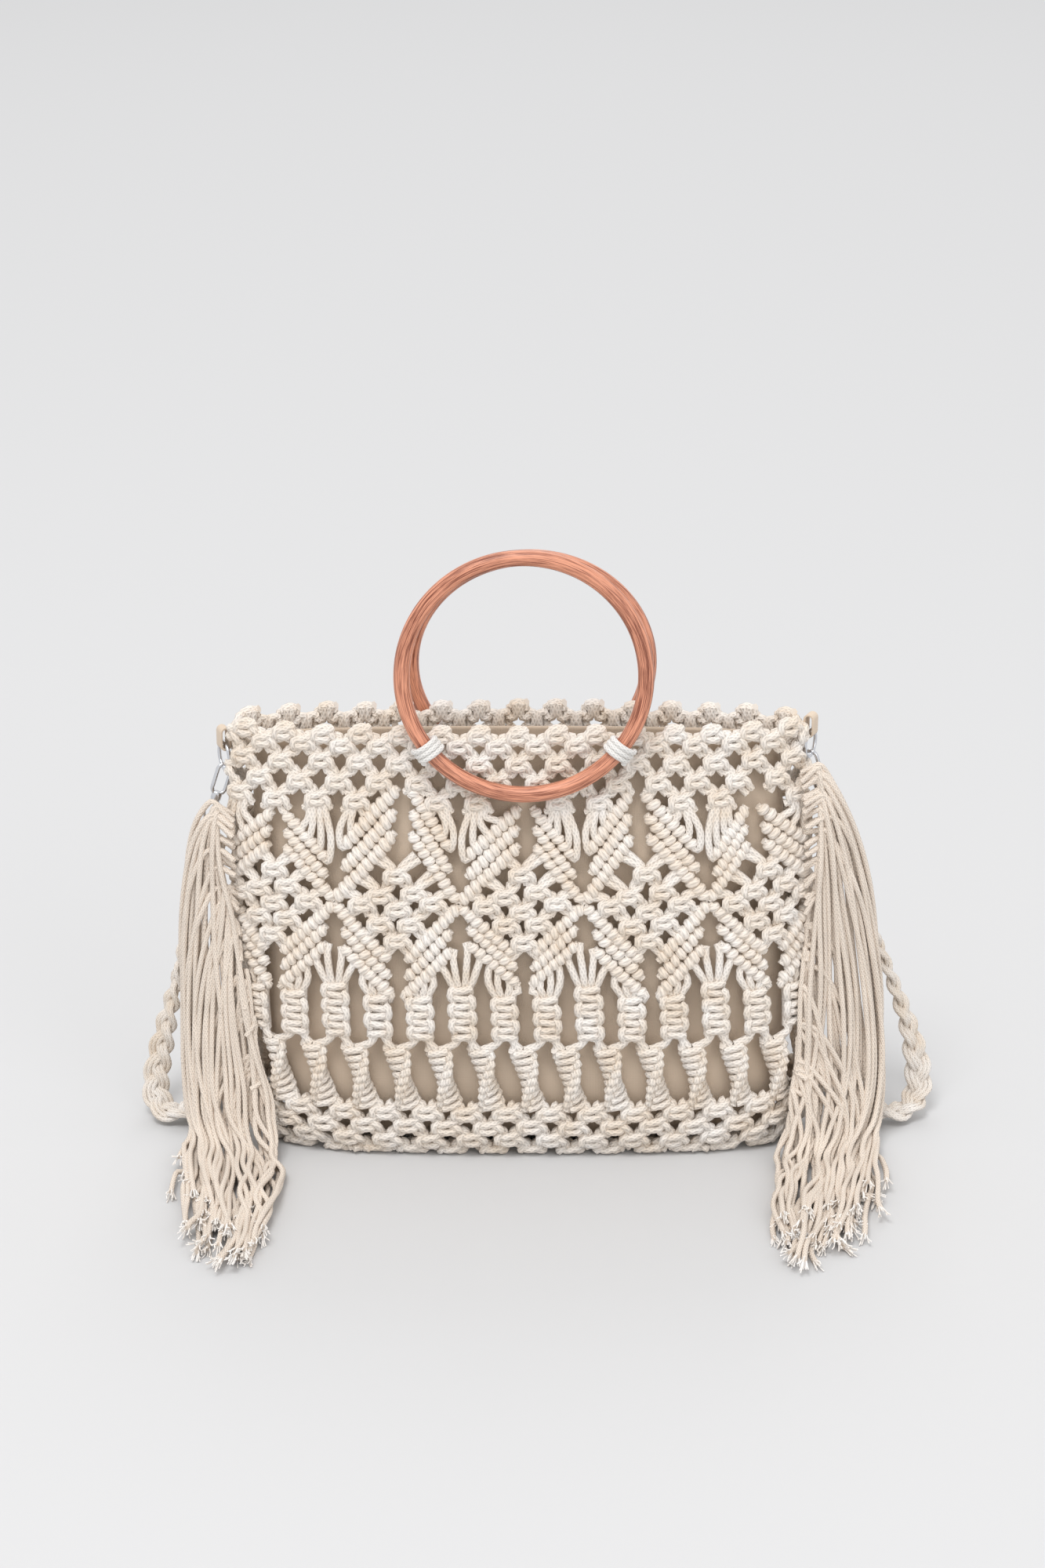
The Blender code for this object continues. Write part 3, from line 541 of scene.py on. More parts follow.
def shape_mesh(name, shape):
    """A smooth mesh from a finished shape, with its faces turned outwards."""
    bmesh.ops.recalc_face_normals(shape, faces=shape.faces)
    for face in shape.faces:
        face.smooth = True
    data = bpy.data.meshes.new(name)
    shape.to_mesh(data)
    shape.free()
    return data


def curve_mesh(name, curve):
    """The mesh of a finished curve."""
    holder = add_object(name + "_line", curve)
    bpy.context.view_layer.update()
    data = bpy.data.meshes.new_from_object(holder.evaluated_get(bpy.context.evaluated_depsgraph_get()))
    bpy.data.objects.remove(holder, do_unlink=True)
    bpy.data.curves.remove(curve)
    data.name = name
    return data


def cord_mesh(name, lines, radius, fineness, cyclic=False, swells=None):
    """Round cords along lines, as one mesh whose UV runs along each cord in cord widths."""
    curve = bpy.data.curves.new(name, "CURVE")
    curve.dimensions = "3D"
    curve.bevel_depth = radius
    curve.bevel_resolution = fineness
    curve.use_fill_caps = not cyclic
    for index, line in enumerate(lines):
        spline = curve.splines.new("POLY")
        spline.points.add(len(line) - 1)
        flat = np.ones((len(line), 4))
        flat[:, :3] = line
        spline.points.foreach_set("co", flat.ravel())
        if swells:
            spline.points.foreach_set("radius", np.full(len(line), swells[index]))
        spline.use_cyclic_u = cyclic
    data = curve_mesh(name, curve)
    sides = 4 + 2 * fineness
    counts = np.array([len(line) for line in lines])
    lengths = np.array([line_length(line) for line in lines])
    rings = int(counts.sum())
    caps = len(data.vertices) - rings * sides
    loops = np.zeros(len(data.loops), dtype=np.int32)
    data.loops.foreach_get("vertex_index", loops)
    uv = np.zeros(len(data.loops) * 2)
    data.uv_layers[0].data.foreach_get("uv", uv)
    uv = uv.reshape(-1, 2)
    owner = np.repeat(np.arange(len(lines)), counts)
    ring = np.clip((loops - caps) // sides, 0, rings - 1)
    scale = np.where(loops >= caps, lengths[owner[ring]] / (2.0 * radius), 0.0)
    uv[:, 0] = uv[:, 0] * scale + 0.37 * owner[ring]
    data.uv_layers[0].data.foreach_set("uv", uv.ravel())
    data.polygons.foreach_set("use_smooth", np.ones(len(data.polygons), dtype=bool))
    return data


def shaken(line, generator):
    """A line with a slight hand-made unevenness, in millimetres."""
    wander = np.array([generator.uniform(-UNEVENNESS, UNEVENNESS) for _ in range(3)])
    return np.asarray(line, dtype=float) + wander


def leaf_bars(diamond, side, upward):
    """Start and end of the three bars of one leaf of a diamond."""
    middle, peak, top, foot = diamond
    crossing = (middle + side * 3.0) * STEP
    tip_u = (peak if upward else middle) * STEP
    tip_z = top if upward else foot
    rise = tip_z - CROSSING_HEIGHT
    bars = []
    for (a, b), (c, d) in zip(LEAF_STARTS, LEAF_ENDS):
        bars.append(((tip_u + side * a, tip_z - rise * b), (crossing - side * c, CROSSING_HEIGHT + rise * d)))
    return bars


def diamond_edge(u):
    """Heights of the upper and lower edges of the leaf pattern at a place across the panel."""
    diamond = min(DIAMONDS, key=lambda held: abs(u / STEP - held[0]))
    edges = []
    for upward, clear in ((True, 3.5), (False, -3.5)):
        tip = diamond[1] if upward else diamond[0]
        side = 1.0 if u > tip * STEP else -1.0
        start, end = leaf_bars(diamond, side, upward)[0]
        share = min(max((u - start[0]) / (end[0] - start[0]), 0.0), 1.0)
        edges.append(start[1] + (end[1] - start[1]) * share + clear)
    return edges[0], edges[1]


def link_ends(knots, key, step, reach):
    """The two places where a knot's pair of cords meets those of its neighbour, upper one first."""
    u, z = knots[key]
    other = knots.get((key[0] + step[0], key[1] + step[1]))
    if other:
        middle = np.array(((u + other[0]) / 2.0, (z + other[1]) / 2.0))
        heading = np.array((other[0] - u, other[1] - z))
    else:
        middle = np.array((u + step[0] * reach[0], z - step[1] * reach[1]))
        heading = np.array((step[0] * reach[0], -step[1] * reach[1]))
    heading /= np.linalg.norm(heading)
    across = np.array((heading[1], -heading[0]))
    if across[1] < 0.0:
        across = -across
    return middle + across * PAIR_HALF, middle - across * PAIR_HALF


def knot_net(knots, width, height, reach, loops=False):
    """Cord lines of a net of alternating square knots given by column and row."""
    lines = []
    for key, (u, z) in knots.items():
        span = reach(key) if callable(reach) else reach
        above_left, above_right, below_left, below_right = (
            [(*spot, PAIR_OUT) for spot in link_ends(knots, key, step, span)]
            for step in ((-1, -1), (1, -1), (-1, 1), (1, 1)))

        def placed(table):
            return [(u + x * width, z + y * height, h) for x, y, h in table]

        left = placed(KNOT_LEFT) + [below_left[1]]
        right = placed(KNOT_RIGHT) + [below_right[1]]
        upper = placed(KNOT_UPPER)
        if loops and key[1] == 0:
            lines.append(placed(KNOT_HEAD))
        else:
            left.insert(0, above_left[0])
            right.insert(0, above_right[0])
            upper.insert(0, above_right[1])
            lines.append([above_left[1]] + placed(KNOT_TUCK))
        lines += [left, right, upper, placed(KNOT_LOOP) + [below_left[0]], placed(KNOT_LOWER),
                  placed(KNOT_TURN) + [below_right[0]]]
    return lines


def sinnet(u, top, foot):
    """Cord lines of an upright row of square knots."""
    bars = max(4, int(round((top - foot) / 4.9)))
    pitch = (top - foot) / bars
    lines = []
    for bar in range(bars):
        z = top - (bar + 0.5) * pitch
        side = -1.0 if bar % 2 == 0 else 1.0
        lines.append([(u - side * 5.6, z + pitch * 0.20, 1.6), (u - side * 3.2, z + pitch * 0.10, 3.3),
                      (u, z, 3.7), (u + side * 3.2, z - pitch * 0.10, 3.3),
                      (u + side * 5.6, z - pitch * 0.2, 1.6)])
    for side, begin in ((-1.0, 0), (1.0, 1)):
        for start in range(begin, bars - 1, 2):
            high = top - (start + 0.25) * pitch
            low = high - 1.7 * pitch
            lines.append([(u + side * 4.4, high, 2.6), (u + side * 6.3, high - pitch * 0.30, 3.7),
                          (u + side * 6.7, (high + low) / 2.0, 3.9),
                          (u + side * 6.2, low + pitch * 0.35, 3.0),
                          (u + side * 4.6, low - pitch * 0.1, 1.2)])
        lines.append([(u + side * 5.4, top + 1.0, 0.2), (u + side * 4.6, (top + foot) / 2.0, -0.4),
                      (u + side * 5.4, foot - 1.0, 0.2)])
    for offset in (-2.2, 2.2):
        lines.append([(u + offset, top + 1.5, 0.0), (u + offset, foot - 1.5, 0.0)])
    return lines


def spiral(u, top, foot, start):
    """Cord lines of a twisting row of half knots, which leans a little to the right."""
    lines = []
    count = 8
    pitch = (top - foot) / count
    for index in range(count):
        share = (index + 0.5) / count
        turn = start + math.pi * 0.95 * share
        z = top - (index + 0.5) * pitch
        shift = SPIRAL_LEAN * (share - 0.5)
        for sign in (1.0, -1.0):
            bar = []
            for step in range(6):
                along = (step / 5.0 - 0.5) * 10.6
                thick = sign * 3.3 * (1.0 - (along / 7.6) ** 2)
                x = along * math.cos(turn) - thick * math.sin(turn)
                h = along * math.sin(turn) + thick * math.cos(turn)
                bar.append((u + x + shift, z + sign * along * 0.22, 1.2 + h * 0.8))
            lines.append(bar)
    for edge in (0.0, math.pi):
        ridges = [[], []]
        for step in range(4 * count + 1):
            share = step / (4.0 * count)
            turn = start + math.pi * 0.95 * share + edge
            swing = math.cos(share * count * 2.0 * math.pi)
            reach = 5.4 + 0.9 * swing
            lift = 1.2 + reach * math.sin(turn) * 0.8 + 0.5 * swing
            for row, apart in enumerate((-1.3, 1.3)):
                over = apart * math.sin(turn)
                x = u + reach * math.cos(turn) + SPIRAL_LEAN * (share - 0.5) + over
                ridges[row].append((x, top - (top - foot) * share + apart * 0.4, lift - 0.3 * row))
        lines += ridges
    return lines


def leaf_bar(start, end, room, generator):
    """One slanting bar of double half hitches: core cord and the turns over it."""
    first = np.array(start, dtype=float)
    last = np.array(end, dtype=float)
    length = float(np.linalg.norm(last - first))
    along = (last - first) / length
    side = np.array([-along[1], along[0]])
    wraps = []
    beads = max(3, int(round(length / 5.1)))
    pitch = length / beads
    bend = generator.uniform(-0.3, 0.5)
    reach = min(max(room / 2.0 - 1.8, 1.2), 2.8)
    for bead in range(beads):
        place = (bead + 0.5) * pitch + generator.uniform(-0.2, 0.2)
        share = place / length
        sway = bend * math.sin(math.pi * share) + generator.uniform(-0.25, 0.25)
        narrow = 0.80 if bead in (0, beads - 1) else generator.uniform(0.95, 1.05)
        lean = generator.uniform(0.3, 0.9)
        turn = []
        for step in range(8):
            angle = math.radians(-32.0 + 244.0 * step / 7.0)
            across = reach * narrow * math.cos(angle)
            spot = first + along * (place + lean * math.cos(angle)) + side * (across + sway)
            turn.append((spot[0], spot[1], 1.0 + 1.75 * narrow * math.sin(angle)))
        wraps.append((turn, 0.85 + 0.15 * narrow))
    core = [(first[0] - along[0] * 1.5, first[1] - along[1] * 1.5, 0.5),
            (last[0] + along[0] * 1.5, last[1] + along[1] * 1.5, 0.5)]
    return core, wraps


def net_knots():
    """Places of the upper knots of a panel by column and row."""
    knots = {}
    for row, z in enumerate(TOP_ROWS):
        for column in range(-15, 16):
            if (column + row) % 2 == 0 and z > diamond_edge(column * STEP)[0] + 4.5:
                knots[(column, row)] = (column * STEP, z)
    return knots


def centre_knots(middle):
    """Places of the knots inside a diamond."""
    return {(column, row): (middle * STEP + across, CROSSING_HEIGHT + height)
            for column, row, across, height in CENTRE_KNOTS}


def centre_reach(key):
    """How far the free cords of a knot inside a diamond run out to the leaves."""
    return (12.5, 11.0) if abs(key[0]) < 2 else (13.0, 7.0)


def hanging_cords(generator):
    """Cords from the last upper knots that hang down and turn in to the upper leaves."""
    lines = []
    for diamond in DIAMONDS:
        for side in (-1.0, 1.0):
            first, last = (np.array(spot) for spot in leaf_bars(diamond, side, True)[0])
            knot_u = (diamond[0] + side * 2.0) * STEP
            for share, offset in ((0.26, -4.4), (0.48, -1.6), (0.72, 1.8), (0.95, 4.6)):
                foot_u, foot_z = first + (last - first) * share
                head_u = knot_u + side * offset
                head_z = TOP_ROWS[4] - 4.0
                if head_z < foot_z + 5.0:
                    continue
                away = side * generator.uniform(3.8, 5.6)
                bulge_u = max(head_u * side, (foot_u + away) * side) * side
                lines.append([(knot_u + side * offset * 0.6, head_z + 5.0, 0.8), (head_u, head_z, 2.0),
                              (bulge_u, head_z * 0.45 + foot_z * 0.55, 2.6),
                              (foot_u + away, foot_z + 0.5, 2.2),
                              (foot_u + away * 0.6, foot_z - 3.0, 1.6),
                              (foot_u - away * 0.1, foot_z - 1.0, 0.6)])
    return lines


def fan_cords(generator):
    """Cords from the lower edges of the leaves down into the upright rows."""
    lines = []
    for column in range(-15, 16, 2):
        u = column * STEP
        top = sinnet_top(column)
        for offset in (-5.2, -1.9, 1.9, 5.2):
            if abs(column) == SEAM_COLUMN and offset * column > 0:
                continue
            spread = 2.0 if column % 6 == 3 or abs(column) == SEAM_COLUMN else 1.4
            target = u + offset * spread
            edge = min(diamond_edge(target)[1] + 1.5, diamond_edge(u + offset)[1] + 6.0)
            bulge = math.copysign(generator.uniform(1.6, 2.8), offset) * (1.0 if abs(offset) > 3.0 else 0.4)
            lines.append([(target - bulge * 0.6, edge + 3.0, -0.2), (target + bulge * 0.5, edge - 2.0, 1.2),
                          (u + offset * 1.3 + bulge, top * 0.5 + edge * 0.5, 2.0),
                          (u + offset * 1.1 + bulge * 0.4, top + 2.5, 1.6),
                          (u + offset * 0.7, top - 3.0, 0.2)])
    return lines


def sinnet_top(column):
    """Height where an upright row of knots begins."""
    return SINNET_FOOT + (33.5 if column % 6 == 3 or abs(column) == SEAM_COLUMN else 27.0)


def panel_lines(generator, seam):
    """All cord lines of a panel: the cords of each band of the net, and the turns of the leaves."""
    knots = net_knots()
    drawn = {}
    for key, place in knots.items():
        if seam or abs(key[0]) < SEAM_COLUMN:
            drawn[key] = (place[0] + generator.uniform(-0.7, 0.7), place[1] + generator.uniform(-0.6, 0.6))
    upper = knot_net(drawn, 0.86, 0.90, (7.0, 7.0), True)
    upper += hanging_cords(generator)
    middle_band = []
    for diamond in DIAMONDS:
        inner = {}
        for key, place in centre_knots(diamond[0]).items():
            inner[key] = (place[0] + generator.uniform(-0.8, 0.8), place[1] + generator.uniform(-0.8, 0.8))
        middle_band += knot_net(inner, 0.88, 0.88, centre_reach)
    middle_band += fan_cords(generator)
    for column in range(-15, 16, 2):
        if abs(column) == SEAM_COLUMN and not seam:
            continue
        drop = generator.uniform(-1.2, 1.2)
        middle_band += sinnet(column * STEP, sinnet_top(column) + drop * 0.5, SINNET_FOOT + drop)
    lower = []
    for column in range(-14, 15, 2):
        lower += spiral(column * STEP, SPIRAL_TOP, SPIRAL_FOOT, generator.uniform(-0.35, 0.15))
        for side in (-1.0, 1.0):
            for offset in (2.2, 5.4):
                top_u = column * STEP - SPIRAL_LEAN / 2.0 + side * (offset - 1.0)
                low_u = column * STEP + SPIRAL_LEAN / 2.0 + side * (offset - 1.0)
                lower.append([((column + side) * STEP - side * offset, SINNET_FOOT + 2.0, 0.6),
                              ((column + side * 0.6) * STEP, SINNET_FOOT - 3.0, 1.6),
                              (top_u, SPIRAL_TOP - 1.0, 1.2)])
                lower.append([(low_u, SPIRAL_FOOT + 1.0, 0.8),
                              ((column + side * 0.5) * STEP, SPIRAL_FOOT - 1.0, 1.4),
                              ((column + side) * STEP - side * offset, BOTTOM_ROWS[0] + 2.0, 0.8)])
    low = {}
    for row, z in enumerate(BOTTOM_ROWS):
        for column in range(-15, 16):
            if (column + row) % 2 and (seam or abs(column) < SEAM_COLUMN):
                low[(column, row)] = (column * STEP + generator.uniform(-1.4, 1.4),
                                      z + generator.uniform(-1.0, 1.0))
    lower += knot_net(low, 1.05, 0.92, (6.0, 4.0))
    leaves = []
    for diamond in DIAMONDS:
        for side in (-1.0, 1.0):
            for upward in (True, False):
                bars = leaf_bars(diamond, side, upward)
                heading = np.array(bars[0][1]) - np.array(bars[0][0])
                heading /= np.linalg.norm(heading)
                apart = np.array(bars[1][0]) - np.array(bars[0][0])
                room = abs(float(heading[0] * apart[1] - heading[1] * apart[0]))
                for start, end in bars:
                    core, wraps = leaf_bar(start, end, room, generator)
                    middle_band.append(core)
                    leaves += wraps
    return (upper, middle_band, lower), leaves


def build_panel(name, node, facing, seed, material):
    """The knotted cords of one panel: three bands of knots and the leaves."""
    generator = random.Random(seed)
    bands, leaves = panel_lines(generator, facing > 0.0)
    size = settings().cord_width / 2.0
    for label, cords in zip(("_upper_knots", "_middle_knots", "_lower_knots"), bands):
        placed = [on_body(smooth_line(shaken(line, generator), PANEL_SPACING), facing) for line in cords]
        add_piece(name + label, cord_mesh(name + label, placed, size, 1), material, "net_cotton", node)
    turns = [on_body(line, facing) for line, _ in leaves]
    data = cord_mesh(name + "_leaves", turns, size * LEAF_SWELL, 2, swells=[swell for _, swell in leaves])
    add_piece(name + "_leaves", data, material, "net_cotton", node)


def build_base(material):
    """Knotted cords under the bag."""
    generator = random.Random(41)
    knots = {}
    for row in range(9):
        depth = (row - 4) * 8.6
        limit = 0.925 * HALF_WIDTH * 1000.0 * (1.0 - (abs(depth) / 39.0) ** 3 * 0.25) - 8.0
        for column in range(-14, 15):
            if (column + row) % 2 == 0 and abs(column * STEP) < limit:
                knots[(column, row)] = (column * STEP + generator.uniform(-0.5, 0.5), -depth)
    placed = [on_base(smooth_line(line, 2.4)) for line in knot_net(knots, 1.0, 0.92, (6.0, 4.0))]
    data = cord_mesh("base_knots", placed, settings().cord_width / 2.0 * 0.95, 1)
    add_piece("base_knots", data, material, "net_cotton", "base_net")


def outline_ring(inset, share, segments):
    """Closed outline of the body at a height, as a list of points."""
    width, depth, squareness, shift = smooth_row(SECTIONS, share)
    x, y, length = outline_quarter(width * HALF_WIDTH - inset * 1.9, depth * HALF_DEPTH - inset, squareness)
    points = []
    for step in range(segments):
        place = 4.0 * step / segments
        quarter = int(place)
        t = place - quarter
        across = (t, 1.0 - t, -t, t - 1.0)[quarter]
        facing = (-1.0, 1.0, 1.0, -1.0)[quarter]
        px = float(np.interp(abs(across), length, x)) * (1.0 if across >= 0.0 else -1.0)
        py = float(np.interp(abs(across), length, y)) * facing
        points.append((px + shift * HALF_WIDTH, py, share * BODY_HEIGHT))
    return points


def build_lining(material):
    """Canvas pouch with soft puckers inside the panels."""
    shape = bmesh.new()
    segments = 144
    inset = NET_THICKNESS / 2.0 + 0.0014
    levels = [(0.027, 2.2), (0.035, 2.0), (0.060, 1.75), (0.090, 1.5)]
    levels += [(0.12 + 0.0665 * step, 1.25) for step in range(13)]
    levels += [(0.960, 1.28), (0.978, 1.28), (0.985, 1.28)]
    loops = []
    for share, deeper in levels:
        ring = bmesh.ops.create_circle(shape, cap_ends=False, segments=segments, radius=1.0)["verts"]
        points = outline_ring(inset * deeper, share, segments)
        for vertex in ring:
            turn = math.atan2(vertex.co.y, vertex.co.x)
            step = round((turn + math.pi / 2.0) / (2.0 * math.pi) * segments) % segments
            pucker = (0.0007 * math.sin(step * 1.13 + 3.0 * share)
                      + 0.0005 * math.sin(step * 0.41 + 9.0 * share))
            x, y, z = points[step]
            inward = 0.9996 - abs(pucker) / 0.05 * min(share * 3.0, 1.0)
            vertex.co = Vector((x * (0.5 + 0.5 * inward), y * inward, z))
        loops.append(ring)
    edges = []
    for ring in loops:
        edges.append(list({edge for vertex in ring for edge in vertex.link_edges}))
    for low, high in zip(edges, edges[1:]):
        bmesh.ops.bridge_loops(shape, edges=low + high)
    floor_face = bmesh.ops.contextual_create(shape, geom=edges[0])["faces"]
    bmesh.ops.poke(shape, faces=floor_face)
    bmesh.ops.recalc_face_normals(shape, faces=shape.faces)
    bmesh.ops.solidify(shape, geom=list(shape.faces), thickness=LINING_CLOTH)
    data = shape_mesh("canvas_lining", shape)
    pouch = add_piece("canvas_lining", data, material, "lining_canvas", "lining")


def body_point(across, share):
    """Point of the front panel at a share across from the middle and a height share."""
    width, depth, squareness, shift = smooth_row(SECTIONS, share)
    x, y, length = outline_quarter(width * HALF_WIDTH, depth * HALF_DEPTH, squareness, 48)
    px = float(np.interp(abs(across), length, x)) * math.copysign(1.0, across)
    return px + shift * HALF_WIDTH, -float(np.interp(abs(across), length, y))


def ring_plane(side_place, facing, lean, tie_height):
    """Place and turn of a handle ring's plane."""
    tie_out = -body_point(TIE_ACROSS, tie_height / BODY_HEIGHT)[1] + RING_OFFSET
    drop = RING_RADIUS * math.sqrt(1.0 - TIE_SPREAD ** 2)
    centre_y = -facing * tie_out + drop * math.sin(lean) * facing
    centre_z = tie_height + drop * math.cos(lean)
    return Matrix.Translation((side_place, centre_y, centre_z)) @ Matrix.Rotation(-facing * lean, 4, "X")


def build_ring(name, place, facing, lean, tie_height, material):
    """Round wooden handle with its grain running round it."""
    shape = bmesh.new()
    ring = bmesh.ops.create_circle(shape, cap_ends=False, segments=24, radius=RING_TUBE)["verts"]
    for vertex in ring:
        turn = math.atan2(vertex.co.y, vertex.co.x)
        vertex.co = Vector((RING_RADIUS + RING_TUBE * math.cos(turn), 0.0, RING_TUBE * math.sin(turn)))
    plane = ring_plane(place, facing, lean, tie_height)
    bmesh.ops.spin(shape, geom=list(shape.verts) + list(shape.edges), cent=(0.0, 0.0, 0.0),
                   axis=(0.0, 0.0, 1.0), dvec=(0.0, 0.0, 0.0), angle=2.0 * math.pi, steps=160,
                   use_merge=True, use_duplicate=False)
    bmesh.ops.remove_doubles(shape, verts=shape.verts, dist=MERGE_DISTANCE)
    data = shape_mesh(name, shape)
    points = np.zeros(len(data.vertices) * 3)
    data.vertices.foreach_get("co", points)
    points = points.reshape(-1, 3)
    turn = np.arctan2(points[:, 1], points[:, 0])
    round_tube = np.arctan2(points[:, 2], np.hypot(points[:, 0], points[:, 1]) - RING_RADIUS)
    grain = data.attributes.new("grain", "FLOAT_VECTOR", "POINT")
    values = np.stack([1.6 * np.cos(turn), 1.6 * np.sin(turn), 3.6 * np.cos(round_tube)], axis=1)
    grain.data.foreach_set("vector", values.ravel())
    other = data.attributes.new("grain_turn", "FLOAT", "POINT")
    other.data.foreach_set("value", 3.6 * np.sin(round_tube) + 7.0 * facing)
    data.transform(plane @ Matrix.Rotation(math.pi / 2.0, 4, "X"))
    return add_piece(name, data, material, "handle_wood", name)


def build_wraps(material):
    """Turns of white cord that tie the handles to the top edge."""
    generator = random.Random(8)
    for panel, place, facing, lean, tie_height in RINGS:
        plane = ring_plane(place, facing, lean, tie_height)
        for label, side in (("left", -1.0), ("right", 1.0)):
            angle = -math.pi / 2.0 + side * math.asin(TIE_SPREAD)
            spot = Matrix.Translation((RING_RADIUS * math.cos(angle), 0.0, RING_RADIUS * math.sin(angle)))
            local = plane @ spot @ Matrix.Rotation(math.pi / 2.0 - angle, 4, "Y")
            line = []
            for step in range(73):
                share = step / 72.0
                turn = share * 6.0 * math.pi + math.pi / 2.0 * facing
                reach = 0.0071 + generator.uniform(-0.00005, 0.00005)
                along = (share - 0.5) * 0.0092 * side
                line.append(tuple(local @ Vector((along, reach * math.cos(turn), reach * math.sin(turn)))))
            tail = []
            middle = local @ Vector((0.0, 0.0, 0.0))
            for shift in (-3.6, 3.2):
                u = middle.x * 1000.0 + shift
                start = (middle.x + shift / 1000.0, middle.y + facing * 0.0062, middle.z - 0.0046)
                level = tie_height * 1000.0
                knot = on_body([(u * 1.08, level - 3.5, 3.0)], facing)[0]
                low = on_body([(u * 1.08, level - 9.5, 1.0)], facing)[0]
                bend = (start[0], (start[1] + knot[1]) / 2.0, tie_height - 0.002)
                tail.append(smooth_line([start, bend, knot, low], 0.002))
            data = cord_mesh(panel + "_" + label + "_turns", [np.array(line)] + tail, 0.0018, 2)
            add_piece(panel + "_" + label + "_turns", data, material, "wrap_cotton",
                      panel + "_" + label + "_wrap")


def build_handles(wood, cotton):
    """Both wooden rings and their ties."""
    for panel, place, facing, lean, tie_height in RINGS:
        build_ring(panel + "_handle_ring", place, facing, lean, tie_height, wood)
    build_wraps(cotton)


def seam_out(share, sign):
    """Outer face of the side seam at a height share."""
    seam = smooth_row(SECTIONS, share)
    return sign * (seam[0] * HALF_WIDTH + NET_THICKNESS / 2.0) + seam[3] * HALF_WIDTH


def fringe_guides(sign, lift, steps=120):
    """The three guide lines of a fringe as an array of points."""
    guides = np.zeros((3, steps + 1, 3))
    half_way, tips = LEFT_FRINGE_SHIFT if sign < 0.0 else RIGHT_FRINGE_SHIFT
    for row, guide in enumerate((INNER_GUIDE, MIDDLE_GUIDE, OUTER_GUIDE)):
        for step in range(steps + 1):
            along = step / steps
            out, back, share = smooth_route(guide, along)
            swell = math.sin(math.pi * min(max(along / 0.8, 0.0), 1.0)) ** 2
            ending = min(max((along - 0.55) / 0.45, 0.0), 1.0) ** 2
            out += half_way * swell * (0.0, 0.6, 1.0)[row] + tips * ending * (1.0, 0.8, 0.0)[row]
            raised = share + lift * max(0.0, 1.0 - along * 3.2)
            seam = smooth_row(SECTIONS, raised)
            x = sign * (seam[0] * HALF_WIDTH + NET_THICKNESS / 2.0 + out * FRINGE_OUT - FRINGE_SEAT)
            z = max(raised * BODY_HEIGHT, FRINGE_THICKNESS / 2.0 + 0.0008)
            guides[row, step] = (x + seam[3] * HALF_WIDTH, back * FRINGE_REACH, z)
    return guides


def fringe_spot(guides, across, along):
    """Points of a fringe at shares across and along it."""
    place = np.clip(along, 0.0, 1.0) * (guides.shape[1] - 1)
    index = np.minimum(place.astype(int), guides.shape[1] - 2)
    t = (place - index)[:, None]
    rows = guides[:, index] * (1.0 - t) + guides[:, index + 1] * t
    first = ((1.0 - across) * (1.0 - 2.0 * across))[:, None]
    second = (4.0 * across * (1.0 - across))[:, None]
    third = (across * (2.0 * across - 1.0))[:, None]
    return rows[0] * first + rows[1] * second + rows[2] * third


def fringe_cord(guides, sign, across, start, end, layer, generator):
    """One cord of a fringe: it leaves the seam outwards, arches over and falls to its cut end."""
    t = np.linspace(0.0, 1.0, 110)
    along = start + (end - start) * t ** 1.2
    wave = generator.uniform(0.0, 2.0 * math.pi)
    pace = generator.uniform(0.8, 1.3)
    reach = 3.6 if start < 0.15 else 2.2
    spread = across * (1.0 - (1.0 - t) ** reach)
    loose = np.clip((along - 0.35) / 0.55, 0.0, 1.0) ** 1.5
    spread += (0.010 + 0.046 * loose) * np.sin(along * 19.0 * pace + wave)
    spread += 0.030 * loose * np.sin(along * 43.0 * pace + 2.0 * wave)
    spread = np.clip(spread, 0.0, 1.0)
    line = fringe_spot(guides, spread, along)
    aside = fringe_spot(guides, np.clip(spread + 0.02, 0.0, 1.02), along) - line
    out = np.cross(np.gradient(line, axis=0), aside)
    out /= np.maximum(np.linalg.norm(out, axis=1, keepdims=True), 1e-9)
    swing = 0.0006 + 0.0012 * loose
    shift = layer * np.clip(t * 6.0, 0.0, 1.0) + swing * np.sin(along * 23.0 * pace + wave)
    line = line + out * shift[:, None]
    line[:, 2] += 0.0030 * np.exp(-((t - 0.07) / 0.07) ** 2)
    root_back = generator.uniform(-0.005, 0.008)
    head = line[0].copy()
    root = np.array([seam_out(min(head[2] / BODY_HEIGHT, 0.97), sign) - sign * 0.0045,
                     head[1] + root_back, head[2] - generator.uniform(0.004, 0.011)])
    line = np.vstack([root, line])
    for _ in range(4):
        line[1:-1] = (line[:-2] + line[1:-1] * 2.0 + line[2:]) / 4.0
    line[:, 2] = np.maximum(line[:, 2], 0.0019)
    return even_line(line, max(12, int(line_length(line) / 0.0028)))


def frayed(line, generator):
    """Thin strands of an untwisted cord end."""
    tip = line[-1]
    heading = line[-1] - line[-3]
    heading /= np.linalg.norm(heading)
    strands = []
    for _ in range(10):
        spread = np.array([generator.uniform(-1.0, 1.0) for _ in range(3)])
        spread -= heading * float(spread @ heading)
        spread /= max(np.linalg.norm(spread), 1e-6)
        reach = generator.uniform(0.004, 0.0085)
        root = tip - heading * 0.0025 + spread * 0.0009
        middle = tip + heading * reach * 0.5 + spread * generator.uniform(0.0014, 0.0026)
        end = tip + heading * reach + spread * generator.uniform(0.0015, 0.0045)
        strand = smooth_line([root, middle, end], 0.0025)
        strand[:, 2] = np.maximum(strand[:, 2], 0.0006)
        strands.append(strand)
    return strands


